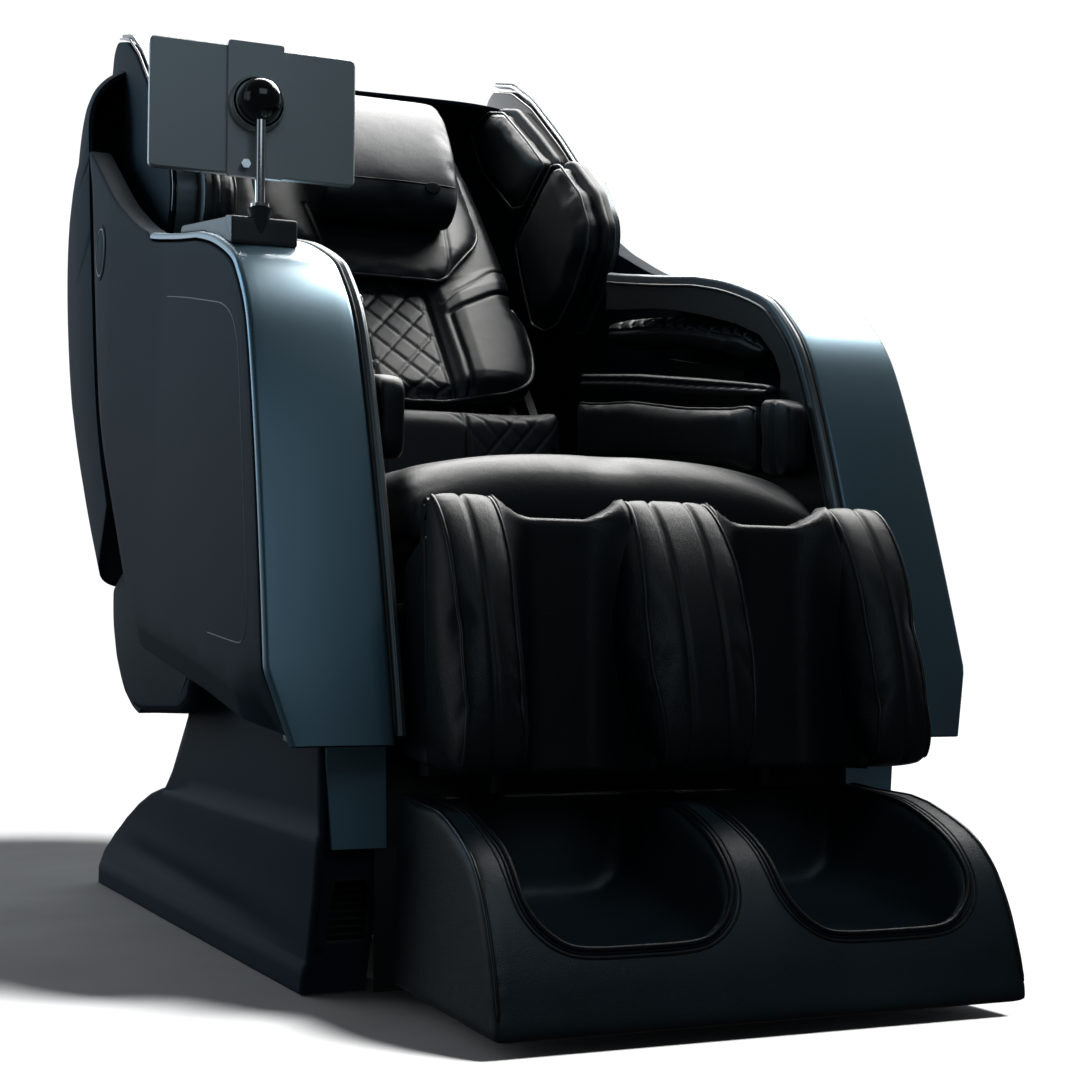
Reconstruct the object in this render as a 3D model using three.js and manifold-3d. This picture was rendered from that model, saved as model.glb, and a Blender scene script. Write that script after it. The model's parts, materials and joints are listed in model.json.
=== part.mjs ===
// A reclining massage chair with leg rest, foot wells and a tablet holder.
// Millimetres. +Z up, the chair faces -Y, X = 0 is its middle plane.
// The origin is on the floor, in the middle of the base. "right" is the +X side.
import * as THREE from 'three';
import { mergeVertices } from 'three/addons/utils/BufferGeometryUtils.js';
import Module from 'manifold-3d';

const wasm = await Module();
wasm.setup();

// ---------------------------------------------------------------- driving dimensions
const GAP = 0.3; // clearance between pieces that touch
const RUN = 0.6; // radial clearance of a turning or sliding fit

const ARM_OUTER = 366; // outer face of an arm shell
const ARM_WALL = 30; // thickness of the arm shell
const ARM_INNER = 250; // inner edge of the arm's front panel
const PANEL_THICK = 10;
const SHELL_SKIN = 7;
const LINER = { inner: 238, outer: 249.5 };
const ARM_BACK_Y = 15; // where the arm's inner wall ends

const MAIN_AXIS = { y: 30, z: 450 }; // backrest and seat tilt turn here
const LEG_AXIS = { y: -598, z: 440 };
const BACK_FOOT = { y: 77, z: 660 }; // lower front edge of the back pad
const BACK_LEAN = THREE.MathUtils.degToRad(39.2);

const SEAT_HALF = 234;
const SEAT_FRONT = -556;
const BACK_HALF = 203;
const LEG_HALF = 240;
const FOOT_HALF = 238;
const FLOOR_CLEAR = 13; // under the foot section

const CHEEK = { inner: 256, outer: 300, top: 290 };
const BASE_FRONT = -546;
const BASE_REAR = 530;
const SKIRT_HALF = 322;
const COVER_WALL = 6;

const BACK_SHELL_HALF = 362;
const BACK_SHELL_WALL = 7;
const BELLY_HALF = 350;
const BELLY_WALL = 5;

const WING = { inner: 233, split: 276, outer: 311 };

const TABLET = { x: -318, y: -352, z: 868, width: 214, height: 134, thick: 10 };
const ROUND_STEPS = 3; // segments in a rounded corner

// ---------------------------------------------------------------- materials
function finish(color, roughness, metalness = 0) {
  return new THREE.MeshStandardMaterial({ color, roughness, metalness });
}
const shellPlastic = finish(0x232a32, 0.55);
const satinBlue = finish(0x3b5266, 0.32, 0.35);
const leather = finish(0x0e1114, 0.42);
const darkPlastic = finish(0x14181c, 0.6);
const glossBlack = finish(0x090a0c, 0.12);
const steel = finish(0x4a4f55, 0.45, 0.8);
const chrome = finish(0xd8dadd, 0.12, 1);
const slateMetal = finish(0x37444c, 0.4, 0.3);
const rubber = finish(0x151515, 0.85);

// ---------------------------------------------------------------- outlines
// Closed outline through [u, v] corners; a third number rounds that corner.
function outline(corners) {
  const shape = new THREE.Shape();
  const points = corners.map(([u, v]) => new THREE.Vector2(u, v));
  points.forEach((point, i) => {
    const before = points[(i + points.length - 1) % points.length];
    const after = points[(i + 1) % points.length];
    const room = Math.min(point.distanceTo(before), point.distanceTo(after));
    const radius = Math.min(corners[i][2] ?? 0, room * 0.45);
    const enter = point.clone().add(before.clone().sub(point).setLength(radius));
    const leave = point.clone().add(after.clone().sub(point).setLength(radius));
    if (i === 0) shape.moveTo(enter.x, enter.y);
    else shape.lineTo(enter.x, enter.y);
    if (radius) shape.quadraticCurveTo(point.x, point.y, leave.x, leave.y);
  });
  shape.closePath();
  return shape;
}

function smooth(points, steps) {
  const curve = new THREE.SplineCurve(points.map(([u, v]) => new THREE.Vector2(u, v)));
  return curve.getPoints(steps).map((p) => [p.x, p.y]);
}

function arc(centre, radius, fromDegrees, toDegrees, steps) {
  return Array.from({ length: steps + 1 }, (_, i) => {
    const a = THREE.MathUtils.degToRad(fromDegrees + ((toDegrees - fromDegrees) * i) / steps);
    return [centre.y + radius * Math.cos(a), centre.z + radius * Math.sin(a)];
  });
}

// An open path moved sideways, to the right of its direction.
function beside(path, distance) {
  return path.map(([u, v], i) => {
    const a = path[Math.max(i - 1, 0)];
    const b = path[Math.min(i + 1, path.length - 1)];
    const length = Math.hypot(b[0] - a[0], b[1] - a[1]);
    return [u + ((b[1] - a[1]) / length) * distance, v - ((b[0] - a[0]) / length) * distance];
  });
}

// A closed outline moved inwards by a distance (outwards if it is negative).
function inset(corners, distance) {
  const n = corners.length;
  const area = corners.reduce((sum, [u, v], i) => {
    const [s, t] = corners[(i + 1) % n];
    return sum + u * t - s * v;
  }, 0);
  const side = Math.sign(area) * distance;
  const normal = (a, b) => {
    const length = Math.hypot(b[0] - a[0], b[1] - a[1]);
    return [-(b[1] - a[1]) / length, (b[0] - a[0]) / length];
  };
  return corners.map((corner, i) => {
    const m = normal(corners[(i + n - 1) % n], corner);
    const k = normal(corner, corners[(i + 1) % n]);
    const reach = side / Math.max(1 + m[0] * k[0] + m[1] * k[1], 0.3);
    return [corner[0] + (m[0] + k[0]) * reach, corner[1] + (m[1] + k[1]) * reach];
  });
}

// ---------------------------------------------------------------- solids
function extrude(corners, depth, bevel) {
  return new THREE.ExtrudeGeometry(outline(corners), {
    depth: depth - 2 * bevel,
    bevelEnabled: bevel > 0,
    bevelThickness: bevel,
    bevelSize: bevel,
    bevelOffset: -bevel,
    bevelSegments: 1,
    curveSegments: ROUND_STEPS,
  }).translate(0, 0, bevel);
}

const axes = (x, y, z) => new THREE.Matrix4().makeBasis(x, y, z);
const X = new THREE.Vector3(1, 0, 0);
const Y = new THREE.Vector3(0, 1, 0);
const Z = new THREE.Vector3(0, 0, 1);

// Outline in (y, z), from x0 to x1.
function prismX(corners, x0, x1, bevel = 0) {
  return extrude(corners, x1 - x0, bevel).applyMatrix4(axes(Y, Z, X)).translate(x0, 0, 0);
}
// Outline in (x, z), from y0 to y1.
function prismY(corners, y0, y1, bevel = 0) {
  const turned = extrude(corners, y1 - y0, bevel).applyMatrix4(axes(X, Z, Y.clone().negate()));
  return turned.translate(0, y1, 0);
}
// Outline in (x, y), from z0 to z1.
function prismZ(corners, z0, z1, bevel = 0) {
  return extrude(corners, z1 - z0, bevel).translate(0, 0, z0);
}

const rect = (u0, v0, u1, v1, r = 0) => [[u0, v0, r], [u1, v0, r], [u1, v1, r], [u0, v1, r]];

function block(x0, x1, y0, y1, z0, z1) {
  const box = new THREE.BoxGeometry(x1 - x0, y1 - y0, z1 - z0);
  return box.translate((x0 + x1) / 2, (y0 + y1) / 2, (z0 + z1) / 2);
}

function rodX(centre, radius, x0, x1, sides = 16) {
  const rod = new THREE.CylinderGeometry(radius, radius, x1 - x0, sides);
  return rod.rotateZ(-Math.PI / 2).translate((x0 + x1) / 2, centre.y, centre.z);
}

// A round bar between two points.
function bar(from, to, radius, sides = 12) {
  const a = new THREE.Vector3(...from);
  const b = new THREE.Vector3(...to);
  const rod = new THREE.CylinderGeometry(radius, radius, a.distanceTo(b), sides);
  const turn = new THREE.Quaternion().setFromUnitVectors(Y, b.clone().sub(a).normalize());
  const middle = a.add(b).multiplyScalar(0.5);
  return rod.applyQuaternion(turn).translate(middle.x, middle.y, middle.z);
}

function closed(geometry) {
  const bare = geometry.clone();
  bare.deleteAttribute('normal');
  bare.deleteAttribute('uv');
  return mergeVertices(bare, 1e-4);
}

function solid(geometry) {
  const body = closed(geometry);
  return new wasm.Manifold(new wasm.Mesh({
    numProp: 3,
    vertProperties: Float32Array.from(body.attributes.position.array),
    triVerts: Uint32Array.from(body.index.array),
  }));
}

function fromSolid(manifold) {
  const mesh = manifold.getMesh();
  const geometry = new THREE.BufferGeometry();
  geometry.setAttribute('position', new THREE.BufferAttribute(mesh.vertProperties, 3));
  geometry.setIndex(new THREE.BufferAttribute(mesh.triVerts, 1));
  return geometry;
}

function combine(first, others, step) {
  const result = others.map(solid).reduce((whole, other) => whole[step](other), solid(first));
  return fromSolid(result);
}
const join = (first, ...others) => combine(first, others, 'add');
const cut = (first, ...others) => combine(first, others, 'subtract');
const common = (first, ...others) => combine(first, others, 'intersect');

function mirrored(geometry) {
  const twin = closed(geometry);
  twin.scale(-1, 1, 1);
  const index = twin.index.array;
  for (let i = 0; i < index.length; i += 3) [index[i], index[i + 1]] = [index[i + 1], index[i]];
  return twin;
}
const bothSides = (right) => join(right, mirrored(right));

// ---------------------------------------------------------------- the assembly
const chair = new THREE.Group();
const backGroup = new THREE.Group();
backGroup.position.set(0, BACK_FOOT.y, BACK_FOOT.z);
backGroup.rotation.x = -BACK_LEAN;
chair.add(backGroup);

function place(name, geometry, material, group = chair) {
  const mesh = new THREE.Mesh(geometry, material.clone());
  mesh.name = name;
  group.add(mesh);
}
function placePair(name, right, material, group = chair) {
  place(`${name}_right`, right, material, group);
  place(`${name}_left`, mirrored(right), material, group);
}

// ---------------------------------------------------------------- base
// The base cover as one closed body. Its floor and middle plane can lie further out,
// so that the same body moved in by the wall thickness opens it there.
function baseBody(wall, floor, middle) {
  // Side view: upright front, neck top, then the long slope of the skirt.
  const side = [
    [BASE_FRONT + 56, floor], [BASE_FRONT, 141], [BASE_FRONT + 2, 217], [BASE_FRONT + 6, CHEEK.top],
    [-5, CHEEK.top], [13, 269], ...smooth([[26, 238], [65, 211], [120, 179], [206, 146]], 4),
    [337, 98], [388, 71], [487, 31], [BASE_REAR, 14], [BASE_REAR, floor],
  ];
  // Cross-section of one half, with the flare below the crease.
  const section = [
    [middle, floor], [SKIRT_HALF, floor], [SKIRT_HALF, 24], [SKIRT_HALF - 5, 60],
    [CHEEK.outer, 150], [CHEEK.outer - 2, CHEEK.top + 5], [middle, CHEEK.top + 5],
  ];
  // Plan of one half: narrow at the front, flared at the rear.
  const plan = [
    [middle, BASE_FRONT - 1], [CHEEK.outer, BASE_FRONT - 1], [SKIRT_HALF - 2, BASE_REAR - 60],
    [SKIRT_HALF - 10, BASE_REAR - 12],
    [SKIRT_HALF - 40, BASE_REAR + 1], [middle, BASE_REAR + 1],
  ];
  return common(
    prismX(inset(side, wall), middle, SKIRT_HALF + 1),
    prismY(inset(section, wall), BASE_FRONT - 2, BASE_REAR + 2),
    prismZ(inset(plan, wall), floor - 1, CHEEK.top + 6),
  );
}

const FRONT_WALL = { y0: -537, y1: -532 }; // closes the base behind the foot section
const RECESS = { x0: 244, x1: 286, z0: 50, z1: 108 }; // small grille recess low on each front corner

function baseCover() {
  const sideBand = block(CHEEK.inner - 14, SKIRT_HALF + 2, -600, 600, 0, 400);
  const outer = common(baseBody(0, 1, 0), sideBand);
  const frontStep = block(230, 400, BASE_FRONT - 5, BASE_FRONT + 6, 137, 300);
  const recess = block(RECESS.x0, RECESS.x1, -560, -490, RECESS.z0, RECESS.z1);
  const uprightSlot = block(258, 278, -106, -44, CHEEK.top - 10, CHEEK.top + 10);
  const shell = cut(outer, baseBody(COVER_WALL, -60, -60), frontStep, recess, uprightSlot);
  const frontWall = block(GAP / 2, CHEEK.inner - 8, FRONT_WALL.y0, FRONT_WALL.y1, 42, 282);
  return join(shell, frontWall);
}

function frontInsert() {
  const face = [[242, 138], [293, 138], [299, 217], [299, 288], [244, 288]];
  return prismY(face, BASE_FRONT - 2, BASE_FRONT + 6 - GAP);
}

function rearCover() {
  const side = (front, floor) => [
    [front, floor], [front, 168], [90, 190], [200, 178], [260, 144], [300, 110], [388, 69],
    [487, 29], [BASE_REAR - 2, 13], [BASE_REAR - 2, floor],
  ];
  const half = CHEEK.inner - 15;
  const outer = prismX(side(66, 1), -half, half);
  const inner = prismX(inset(side(0, -60), COVER_WALL), -half + COVER_WALL, half - COVER_WALL);
  const wheelSlot = block(146, 190, 462, 540, -5, 70);
  const inlet = block(-212, -148, 330, 380, 50, 140);
  return cut(outer, inner, wheelSlot, mirrored(wheelSlot), inlet);
}

const WHEEL = { y: 500, z: 27, radius: 24, x0: 152, x1: 174 };

// The tilt actuator pushes up on the seat from a pair of lugs in the base.
const TILT_DIR = new THREE.Vector3(0, -0.35, 0.937).normalize();
const TILT_TAIL = new THREE.Vector3(90, -85, 62);
const along = (start, dir, length) => start.clone().addScaledVector(dir, length).toArray();

// A pair of lugs either side of the tilt actuator's line.
function tiltLugs(y0, y1, z0, z1) {
  const { x } = TILT_TAIL;
  return [block(x - 26, x - 14, y0, y1, z0, z1), block(x + 14, x + 26, y0, y1, z0, z1)];
}

function baseFrame() {
  const rail = block(180, 216, -470, 440, 0, 40);
  const upright = prismX([
    [-100, 20], [-50, 20], [-50, 400], [30, 426], ...arc(MAIN_AXIS, 22, -80, 100, 6), [-100, 420],
  ], 262, 274);
  const foot = block(200, 274, -100, -50, 5, 40);
  const wheelEar = prismX([
    [430, 15], [512, 15, 6], [512, 39, 6], [482, 39], [462, 25], [430, 25],
  ], 180, 186);
  const stub = rodX(WHEEL, 5, 150, 184);
  const pivot = join(rodX(MAIN_AXIS, 12, 270, 300), rodX(MAIN_AXIS, 17, 298.5, 304));
  const right = join(rail, upright, foot, wheelEar, stub, pivot);
  const beams = [[-470, -430], [-40, 40], [400, 440]];
  const cross = beams.map(([y0, y1]) => block(-190, 190, y0, y1, 0, 36));
  const lugs = tiltLugs(-110, -30, 20, 72);
  return join(bothSides(right), ...cross, ...lugs);
}

function wheel() {
  const { radius, x0, x1 } = WHEEL;
  const half = (x1 - x0) / 2;
  const profile = [[5 + RUN, -half], [radius - 3, -half], [radius, -half + 4], [radius, half - 4],
    [radius - 3, half], [5 + RUN, half], [5 + RUN, -half]];
  const spun = new THREE.LatheGeometry(profile.map((p) => new THREE.Vector2(...p)), 16);
  return spun.rotateZ(-Math.PI / 2).translate((x0 + x1) / 2, WHEEL.y, WHEEL.z);
}

function powerBox() {
  const body = block(-210, -150, 332, 378, 60, 134);
  const inlet = prismY(rect(-204, 92, -180, 112, 4), 366, 380);
  const well = block(-176, -156, 364, 380, 88, 116);
  return cut(body, inlet, well);
}
function powerSwitch() {
  return prismX([[366, 92], [374, 91], [380, 102], [382, 112], [366, 112]], -174.5, -157.5);
}
function tiltActuator() {
  const tube = bar(along(TILT_TAIL, TILT_DIR, 22), along(TILT_TAIL, TILT_DIR, 165), 22);
  const eye = bar(along(TILT_TAIL, TILT_DIR, -12), along(TILT_TAIL, TILT_DIR, 30), 12);
  const motor = bar(
    along(TILT_TAIL.clone().setY(TILT_TAIL.y + 46), TILT_DIR, 30),
    along(TILT_TAIL.clone().setY(TILT_TAIL.y + 46), TILT_DIR, 120), 26,
  );
  const bore = bar(along(TILT_TAIL, TILT_DIR, 60), along(TILT_TAIL, TILT_DIR, 180), 11 + RUN);
  return cut(join(tube, eye, motor), bore);
}
function tiltRod() {
  return bar(along(TILT_TAIL, TILT_DIR, 70), along(TILT_TAIL, TILT_DIR, 291), 11);
}

function buildBase() {
  place('base_frame', baseFrame(), steel);
  placePair('base_cover', baseCover(), shellPlastic);
  place('base_rear_cover', rearCover(), shellPlastic);
  placePair('base_front_insert', frontInsert(), satinBlue);
  placePair('transport_wheel', wheel(), rubber);
  place('power_box', powerBox(), darkPlastic);
  place('power_switch', powerSwitch(), glossBlack);
  place('tilt_actuator', tiltActuator(), darkPlastic);
  place('tilt_rod', tiltRod(), chrome);
}

// ---------------------------------------------------------------- arms
// Side view of an arm: the front bend, the rising top, and the rear edge.
const armFront = smooth([
  [-600, 233], [-584, 300], [-557, 398], [-526, 497], [-492, 590], [-464, 646], [-425, 688],
  [-390, 712], [-310, 743], [-230, 765],
], 17);
const armTop = smooth([[-230, 765], [-95, 792], [48, 826], [166, 876], [219, 903], [425, 1022]], 10);
const armRear = smooth([[425, 1022], [406, 930], [350, 700], [299, 586], [160, 424], [94, 360]], 8);
const armSide = [...armFront, ...armTop.slice(1), ...armRear.slice(1), [33, 326], [-319, 279]];

// The wrap-around front panel follows the arm's front bend from the top to its lower lip.
const panelRun = [...armFront, ...armTop.slice(1).filter(([y]) => y < ARM_BACK_Y)];
function panelBand(thick, proud = 0) {
  const slack = thick - PANEL_THICK;
  const [endY, endZ] = panelRun.at(-1);
  const run = [...panelRun.slice(0, -1), [endY + slack, endZ + slack / 4]];
  const rear = -556 + slack;
  const lip = [[-596 + thick, 242 + thick], [rear, 242 + thick], [rear, 240 - proud * 2]];
  return [...beside(run, -proud), ...beside(run, thick).slice(1).reverse(), ...lip];
}

function frontPanel() {
  const band = prismX(panelBand(PANEL_THICK), ARM_INNER, ARM_OUTER - 1);
  const corner = prismY([[345, 225], [ARM_OUTER - 2, 300], [400, 300], [400, 225]], -700, -500);
  return cut(band, corner);
}

function sideShell() {
  const plate = prismX(armSide, ARM_OUTER - ARM_WALL, ARM_OUTER);
  const pocket = prismX(inset(armSide, SHELL_SKIN + PANEL_THICK), 300, ARM_OUTER - SHELL_SKIN);
  const toe = block(300, 400, -700, -588, 200, 242);
  return cut(plate, prismX(panelBand(PANEL_THICK + GAP, 6), 300, 400), pocket, toe);
}

// Inner wall of the arm, with the window to the forearm channel and the shelf below it.
function armLiner() {
  const inside = beside(panelRun, PANEL_THICK + GAP).filter(([y, z]) => z > 262 && y < 0);
  const side = [
    ...inside, [ARM_BACK_Y, 806], [ARM_BACK_Y, 420], [-60, 400], [-500, 400], [-545, 300],
    [-560, 262],
  ];
  const window = [
    [ARM_BACK_Y + 5, 768], ...smooth([[-53, 757], [-160, 737], [-305, 698], [-397, 662], [-433, 617]], 7),
    [-430, 560], [ARM_BACK_Y + 5, 600],
  ];
  const wall = cut(
    prismX(side, LINER.inner, LINER.outer),
    prismX(window, LINER.inner - 5, LINER.outer + 5),
  );
  const shelf = prismX([[ARM_BACK_Y, 596], [-446, 556], [-446, 546], [ARM_BACK_Y, 586]], LINER.inner + 3, 335.5);
  const rib = prismX([[ARM_BACK_Y, 590], [ARM_BACK_Y, 708], [-200, 660], [-200, 572]], 322, 335.5);
  return join(wall, shelf, rib);
}

function forearmPad() {
  const side = [
    [71, 764, 12], [-82, 745], [-192, 724], [-300, 697], [-362, 670, 16], [-372, 652, 10],
    [-330, 645], [-192, 680], [71, 724, 12],
  ];
  return prismX(side, 252, 334, 3);
}

function armAirbag() {
  const side = [
    [60, 693, 6], [-112, 668], [-271, 640], [-440, 606, 6], [-450, 592, 6], [-271, 616],
    [-112, 642], [60, 668, 6],
  ];
  return prismX(side, 214, LINER.inner - GAP);
}

function hipPad() {
  const side = [
    [60, 656, 10], [-112, 638], [-259, 611], [-425, 588], [-482, 580, 20], [-494, 524, 10],
    [-478, 514, 10], [-284, 524], [60, 556, 10],
  ];
  return prismX(side, 206, LINER.inner - GAP, 5);
}

function buildArms() {
  placePair('side_shell', sideShell(), shellPlastic);
  placePair('front_panel', frontPanel(), satinBlue);
  placePair('arm_liner', armLiner(), darkPlastic);
  placePair('forearm_pad', forearmPad(), leather);
  placePair('arm_airbag', armAirbag(), leather);
  placePair('hip_pad', hipPad(), leather);
}

// ---------------------------------------------------------------- seat
function seatFrame() {
  const beam = block(184, 210, -560, 60, 362, 392);
  const legEar = prismX([
    [-552, 362], [-552, 392], [-580, 432], ...arc(LEG_AXIS, 14, 0, 200, 6), [-590, 405],
  ], 184, 194);
  const mainEar = prismX([
    [15, 372], [65, 372], [62, 392], ...arc(MAIN_AXIS, 22, -20, 200, 6), [12, 392],
  ], 276, 284);
  const hingeStub = rodX(LEG_AXIS, 7, 190, 226);
  const right = join(beam, legEar, mainEar, hingeStub);
  const cross = [block(-284, 284, 15, 65, 372, 392), block(-200, 200, -360, -330, 362, 390),
    block(-200, 200, -558, -530, 364, 392)];
  const lugs = tiltLugs(-215, -165, 318, 380);
  const crossLug = block(-200, 200, -216, -180, 364, 390);
  const pinHole = rodX(MAIN_AXIS, 12 + RUN, 250, 290);
  const clamp = block(-26, 26, -345, -335, 318, 380);
  return cut(
    join(bothSides(right), ...cross, crossLug, ...lugs, clamp),
    pinHole, mirrored(pinHole),
  );
}

function seatCushion() {
  const side = [
    [SEAT_FRONT, 402], [SEAT_FRONT, 462], [-540, 488], [-510, 503], [-300, 509], [18, 502],
    [22, 402],
  ];
  return prismX(side, -SEAT_HALF, SEAT_HALF, 8);
}

// Round rear of the seat, a drum about the recline axis that the back shell slides over.
function bellyCover() {
  const outer = smooth([[310, 410], [298, 361], [275, 309], [215, 265], [157, 246], [114, 242]], 12);
  const inner = beside(outer, BELLY_WALL).reverse();
  const wall = prismX([...outer, ...inner], -BELLY_HALF, BELLY_HALF);
  const cheek = prismX([...outer, [86, 300], [175, 400]], BELLY_HALF - BELLY_WALL, BELLY_HALF);
  return join(wall, cheek, mirrored(cheek));
}

// The recline actuator lies under the seat and pulls the crank of the back frame.
const RECLINE = { y0: -334, y1: -110, rodEnd: 72, z: 334 };
function reclineActuator() {
  const { y0, y1, z } = RECLINE;
  const tube = bar([0, y0, z], [0, y1, z], 18);
  const motor = bar([0, y0 + 12, z - 40], [0, y0 + 112, z - 40], 24);
  const bore = bar([0, y0 + 60, z], [0, y1 + 5, z], 9 + RUN);
  return cut(join(tube, motor), bore);
}
function reclineRod() {
  const { y0, rodEnd, z } = RECLINE;
  return bar([0, y0 + 145, z], [0, rodEnd, z], 9);
}

function buildSeat() {
  place('seat_frame', seatFrame(), steel);
  place('seat_cushion', seatCushion(), leather);
  place('belly_cover', bellyCover(), darkPlastic);
  place('recline_actuator', reclineActuator(), darkPlastic);
  place('recline_rod', reclineRod(), chrome);
}

// ---------------------------------------------------------------- backrest
// Local to the back: y runs rearward from the pad's face, z runs up the back.
const CARRIAGE_S = 110; // massage carriage at rest, up from the pad's foot
const ROLLER = { radius: 22, x: 62, spread: 46, t: 76 };

function backFrame() {
  const side = block(180, 192, 58, 112, -50, 560);
  const guide = block(152, 164, 62, 120, -50, 560);
  const head = block(0, 192, 100, 130, 530, 560);
  const foot = block(0, 296, 78, 112, -62, -50);
  const toPivot = new THREE.Vector2(MAIN_AXIS.y - BACK_FOOT.y, MAIN_AXIS.z - BACK_FOOT.z);
  toPivot.rotateAround(new THREE.Vector2(), BACK_LEAN);
  const eye = { y: toPivot.x, z: toPivot.y };
  const arm = prismX([
    [108, -50], [62, -50], ...arc(eye, 22, 150, 330, 8), [110, -150],
  ], 286, 296);
  const tie = block(0, 296, 92, 112, -150, -130);
  const half = join(side, guide, head, foot, arm, tie, crankPlate());
  const pinHole = rodX(eye, 12 + RUN, 250, 330);
  return cut(bothSides(half), pinHole, mirrored(pinHole));
}
// One plate of the crank that hangs below the pivot and takes the recline rod.
function crankPlate() {
  const plate = prismX([
    [58, 482], [62, 498], [140, 498], [152, 480], [152, 322], [56, 322], [56, 350], [128, 350],
    [128, 470],
  ], 12, 20);
  return plate.translate(0, -BACK_FOOT.y, -BACK_FOOT.z).rotateX(BACK_LEAN);
}

function rollerArm() {
  const { spread, t } = ROLLER;
  const web = prismX([
    [t - 9, CARRIAGE_S - spread, 6], [t + 9, CARRIAGE_S - spread - 8, 6], [t + 20, CARRIAGE_S - 14],
    [t + 28, CARRIAGE_S, 8], [t + 20, CARRIAGE_S + 14], [t + 9, CARRIAGE_S + spread + 8, 6],
    [t - 9, CARRIAGE_S + spread, 6], [t + 6, CARRIAGE_S],
  ], 40, 48);
  const axles = [-spread, spread].map((s) => rodX({ y: t, z: CARRIAGE_S + s }, 5, 44, 76));
  return join(web, ...axles);
}
function carriage() {
  const plate = block(-147, 147, 101, 120, CARRIAGE_S - 60, CARRIAGE_S + 60);
  const motor = prismX(rect(110, CARRIAGE_S - 50, 168, CARRIAGE_S + 50, 10), -70, 70);
  const shaft = rodX({ y: 92, z: CARRIAGE_S }, 7, -100, 100);
  return join(plate, motor, shaft, bothSides(rollerArm()));
}
function massageRoller(side) {
  const { radius, spread, t } = ROLLER;
  const profile = [[5 + RUN, -12], [radius - 7, -12], [radius, -5], [radius, 5], [radius - 7, 12],
    [5 + RUN, 12], [5 + RUN, -12]];
  const spun = new THREE.LatheGeometry(profile.map((p) => new THREE.Vector2(...p)), 12);
  return spun.rotateZ(-Math.PI / 2).translate(ROLLER.x, t, CARRIAGE_S + side * spread);
}

function backPad() {
  const face = [
    [-BACK_HALF + 25, 0, 30], [BACK_HALF - 25, 0, 30], [BACK_HALF, 90, 30], [BACK_HALF, 150],
    [BACK_HALF - 12, 172], [BACK_HALF, 200], [BACK_HALF, 600, 60], [-BACK_HALF, 600, 60],
    [-BACK_HALF, 200], [-BACK_HALF + 12, 172], [-BACK_HALF, 150], [-BACK_HALF, 90, 30],
  ];
  return prismY(face, 0, 46, 6);
}
function lowerBackPad() {
  const side = [[34, 508, 10], [50, 640, 8], [84, 644, 8], [88, 508, 10]];
  return prismX(side, -200, 200, 5);
}
function headPillow() {
  const side = [
    [176, 935, 30], [180, 985, 20], [212, 1040, 20], [255, 1090, 20], [330, 1116, 20],
    [398, 1076, 10], [308, 958], [262, 895, 20], [215, 880, 30],
  ];
  const flap = prismY([[-128, 470], [-128, 262], [-84, 214], [84, 214], [128, 262], [128, 470]], -18, -1);
  const onBack = flap.rotateX(-BACK_LEAN).translate(0, BACK_FOOT.y, BACK_FOOT.z);
  return join(prismX(side, -105, 105), onBack);
}
const wingSide = [
  [527, 1217, 10], [449, 1192], [369, 1145], [262, 1060], [172, 979], [127, 915, 14], [127, 880, 14],
  [142, 855], [232, 777, 20], [300, 790], [420, 900], [560, 1080], [585, 1150, 20],
];
// Side view of the back shell: the round rear, the domed top and the front edge behind the arm.
const shellRear = smooth([
  [322, 402], [473, 535], [625, 695], [690, 860], [686, 1000], [645, 1110], [590, 1178],
  [530, 1206],
], 12);
const shellFront = smooth([[436, 1030], [416, 930], [358, 700], [306, 588], [243, 508]], 5);
const shellSide = [...shellRear, [460, 1196], ...shellFront];
const shellPlan = [
  ...smooth([[BACK_SHELL_HALF, 600], [353, 664], [310, 698], [150, 714], [0, 716]], 6),
  ...smooth([[0, 716], [-150, 714], [-310, 698], [-353, 664], [-BACK_SHELL_HALF, 600]], 6).slice(1),
  [-BACK_SHELL_HALF, 200], [BACK_SHELL_HALF, 200],
];
const shellFace = [
  ...smooth([[BACK_SHELL_HALF, 1020], [355, 1085], [325, 1140], [240, 1186], [90, 1206]], 6),
  ...smooth([[-90, 1206], [-240, 1186], [-325, 1140], [-355, 1085], [-BACK_SHELL_HALF, 1020]], 6),
  [-BACK_SHELL_HALF, 380], [BACK_SHELL_HALF, 380],
];

function backShell() {
  const body = (wall) => common(
    prismX(inset(shellSide, wall), -BACK_SHELL_HALF, BACK_SHELL_HALF),
    prismZ(inset(shellPlan, wall), 300, 1300),
    prismY(inset(shellFace, wall), 100, 800),
  );
  const hollow = body(BACK_SHELL_WALL);
  const open = join(hollow, ...[[-40, 0], [-120, 0], [-30, -27], [-100, -88]].map(
    ([y, z]) => hollow.clone().translate(0, y, z),
  ));
  const wingRoom = prismX(inset(wingSide, -4), WING.inner - 4, WING.outer + 4);
  return cut(body(0), open, wingRoom, mirrored(wingRoom));
}
function wingShell() {
  return prismX(wingSide, WING.split + GAP, WING.outer, 6);
}
function wingUpperPad() {
  const side = [
    [541, 1145, 16], [452, 1154, 16], [388, 1136], [234, 1020], [231, 1008], [311, 967],
    [356, 973, 14], [480, 1060],
  ];
  return prismX(side, WING.inner, WING.split, 5);
}
function wingLowerPad() {
  const side = [
    [203, 1006, 10], [172, 1000, 10], [106, 945], [76, 892], [80, 862, 14], [125, 808],
    [184, 774, 14], [232, 774, 14], [275, 790], [342, 923], [309, 948, 14],
  ];
  return prismX(side, WING.inner, WING.split, 6);
}

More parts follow.
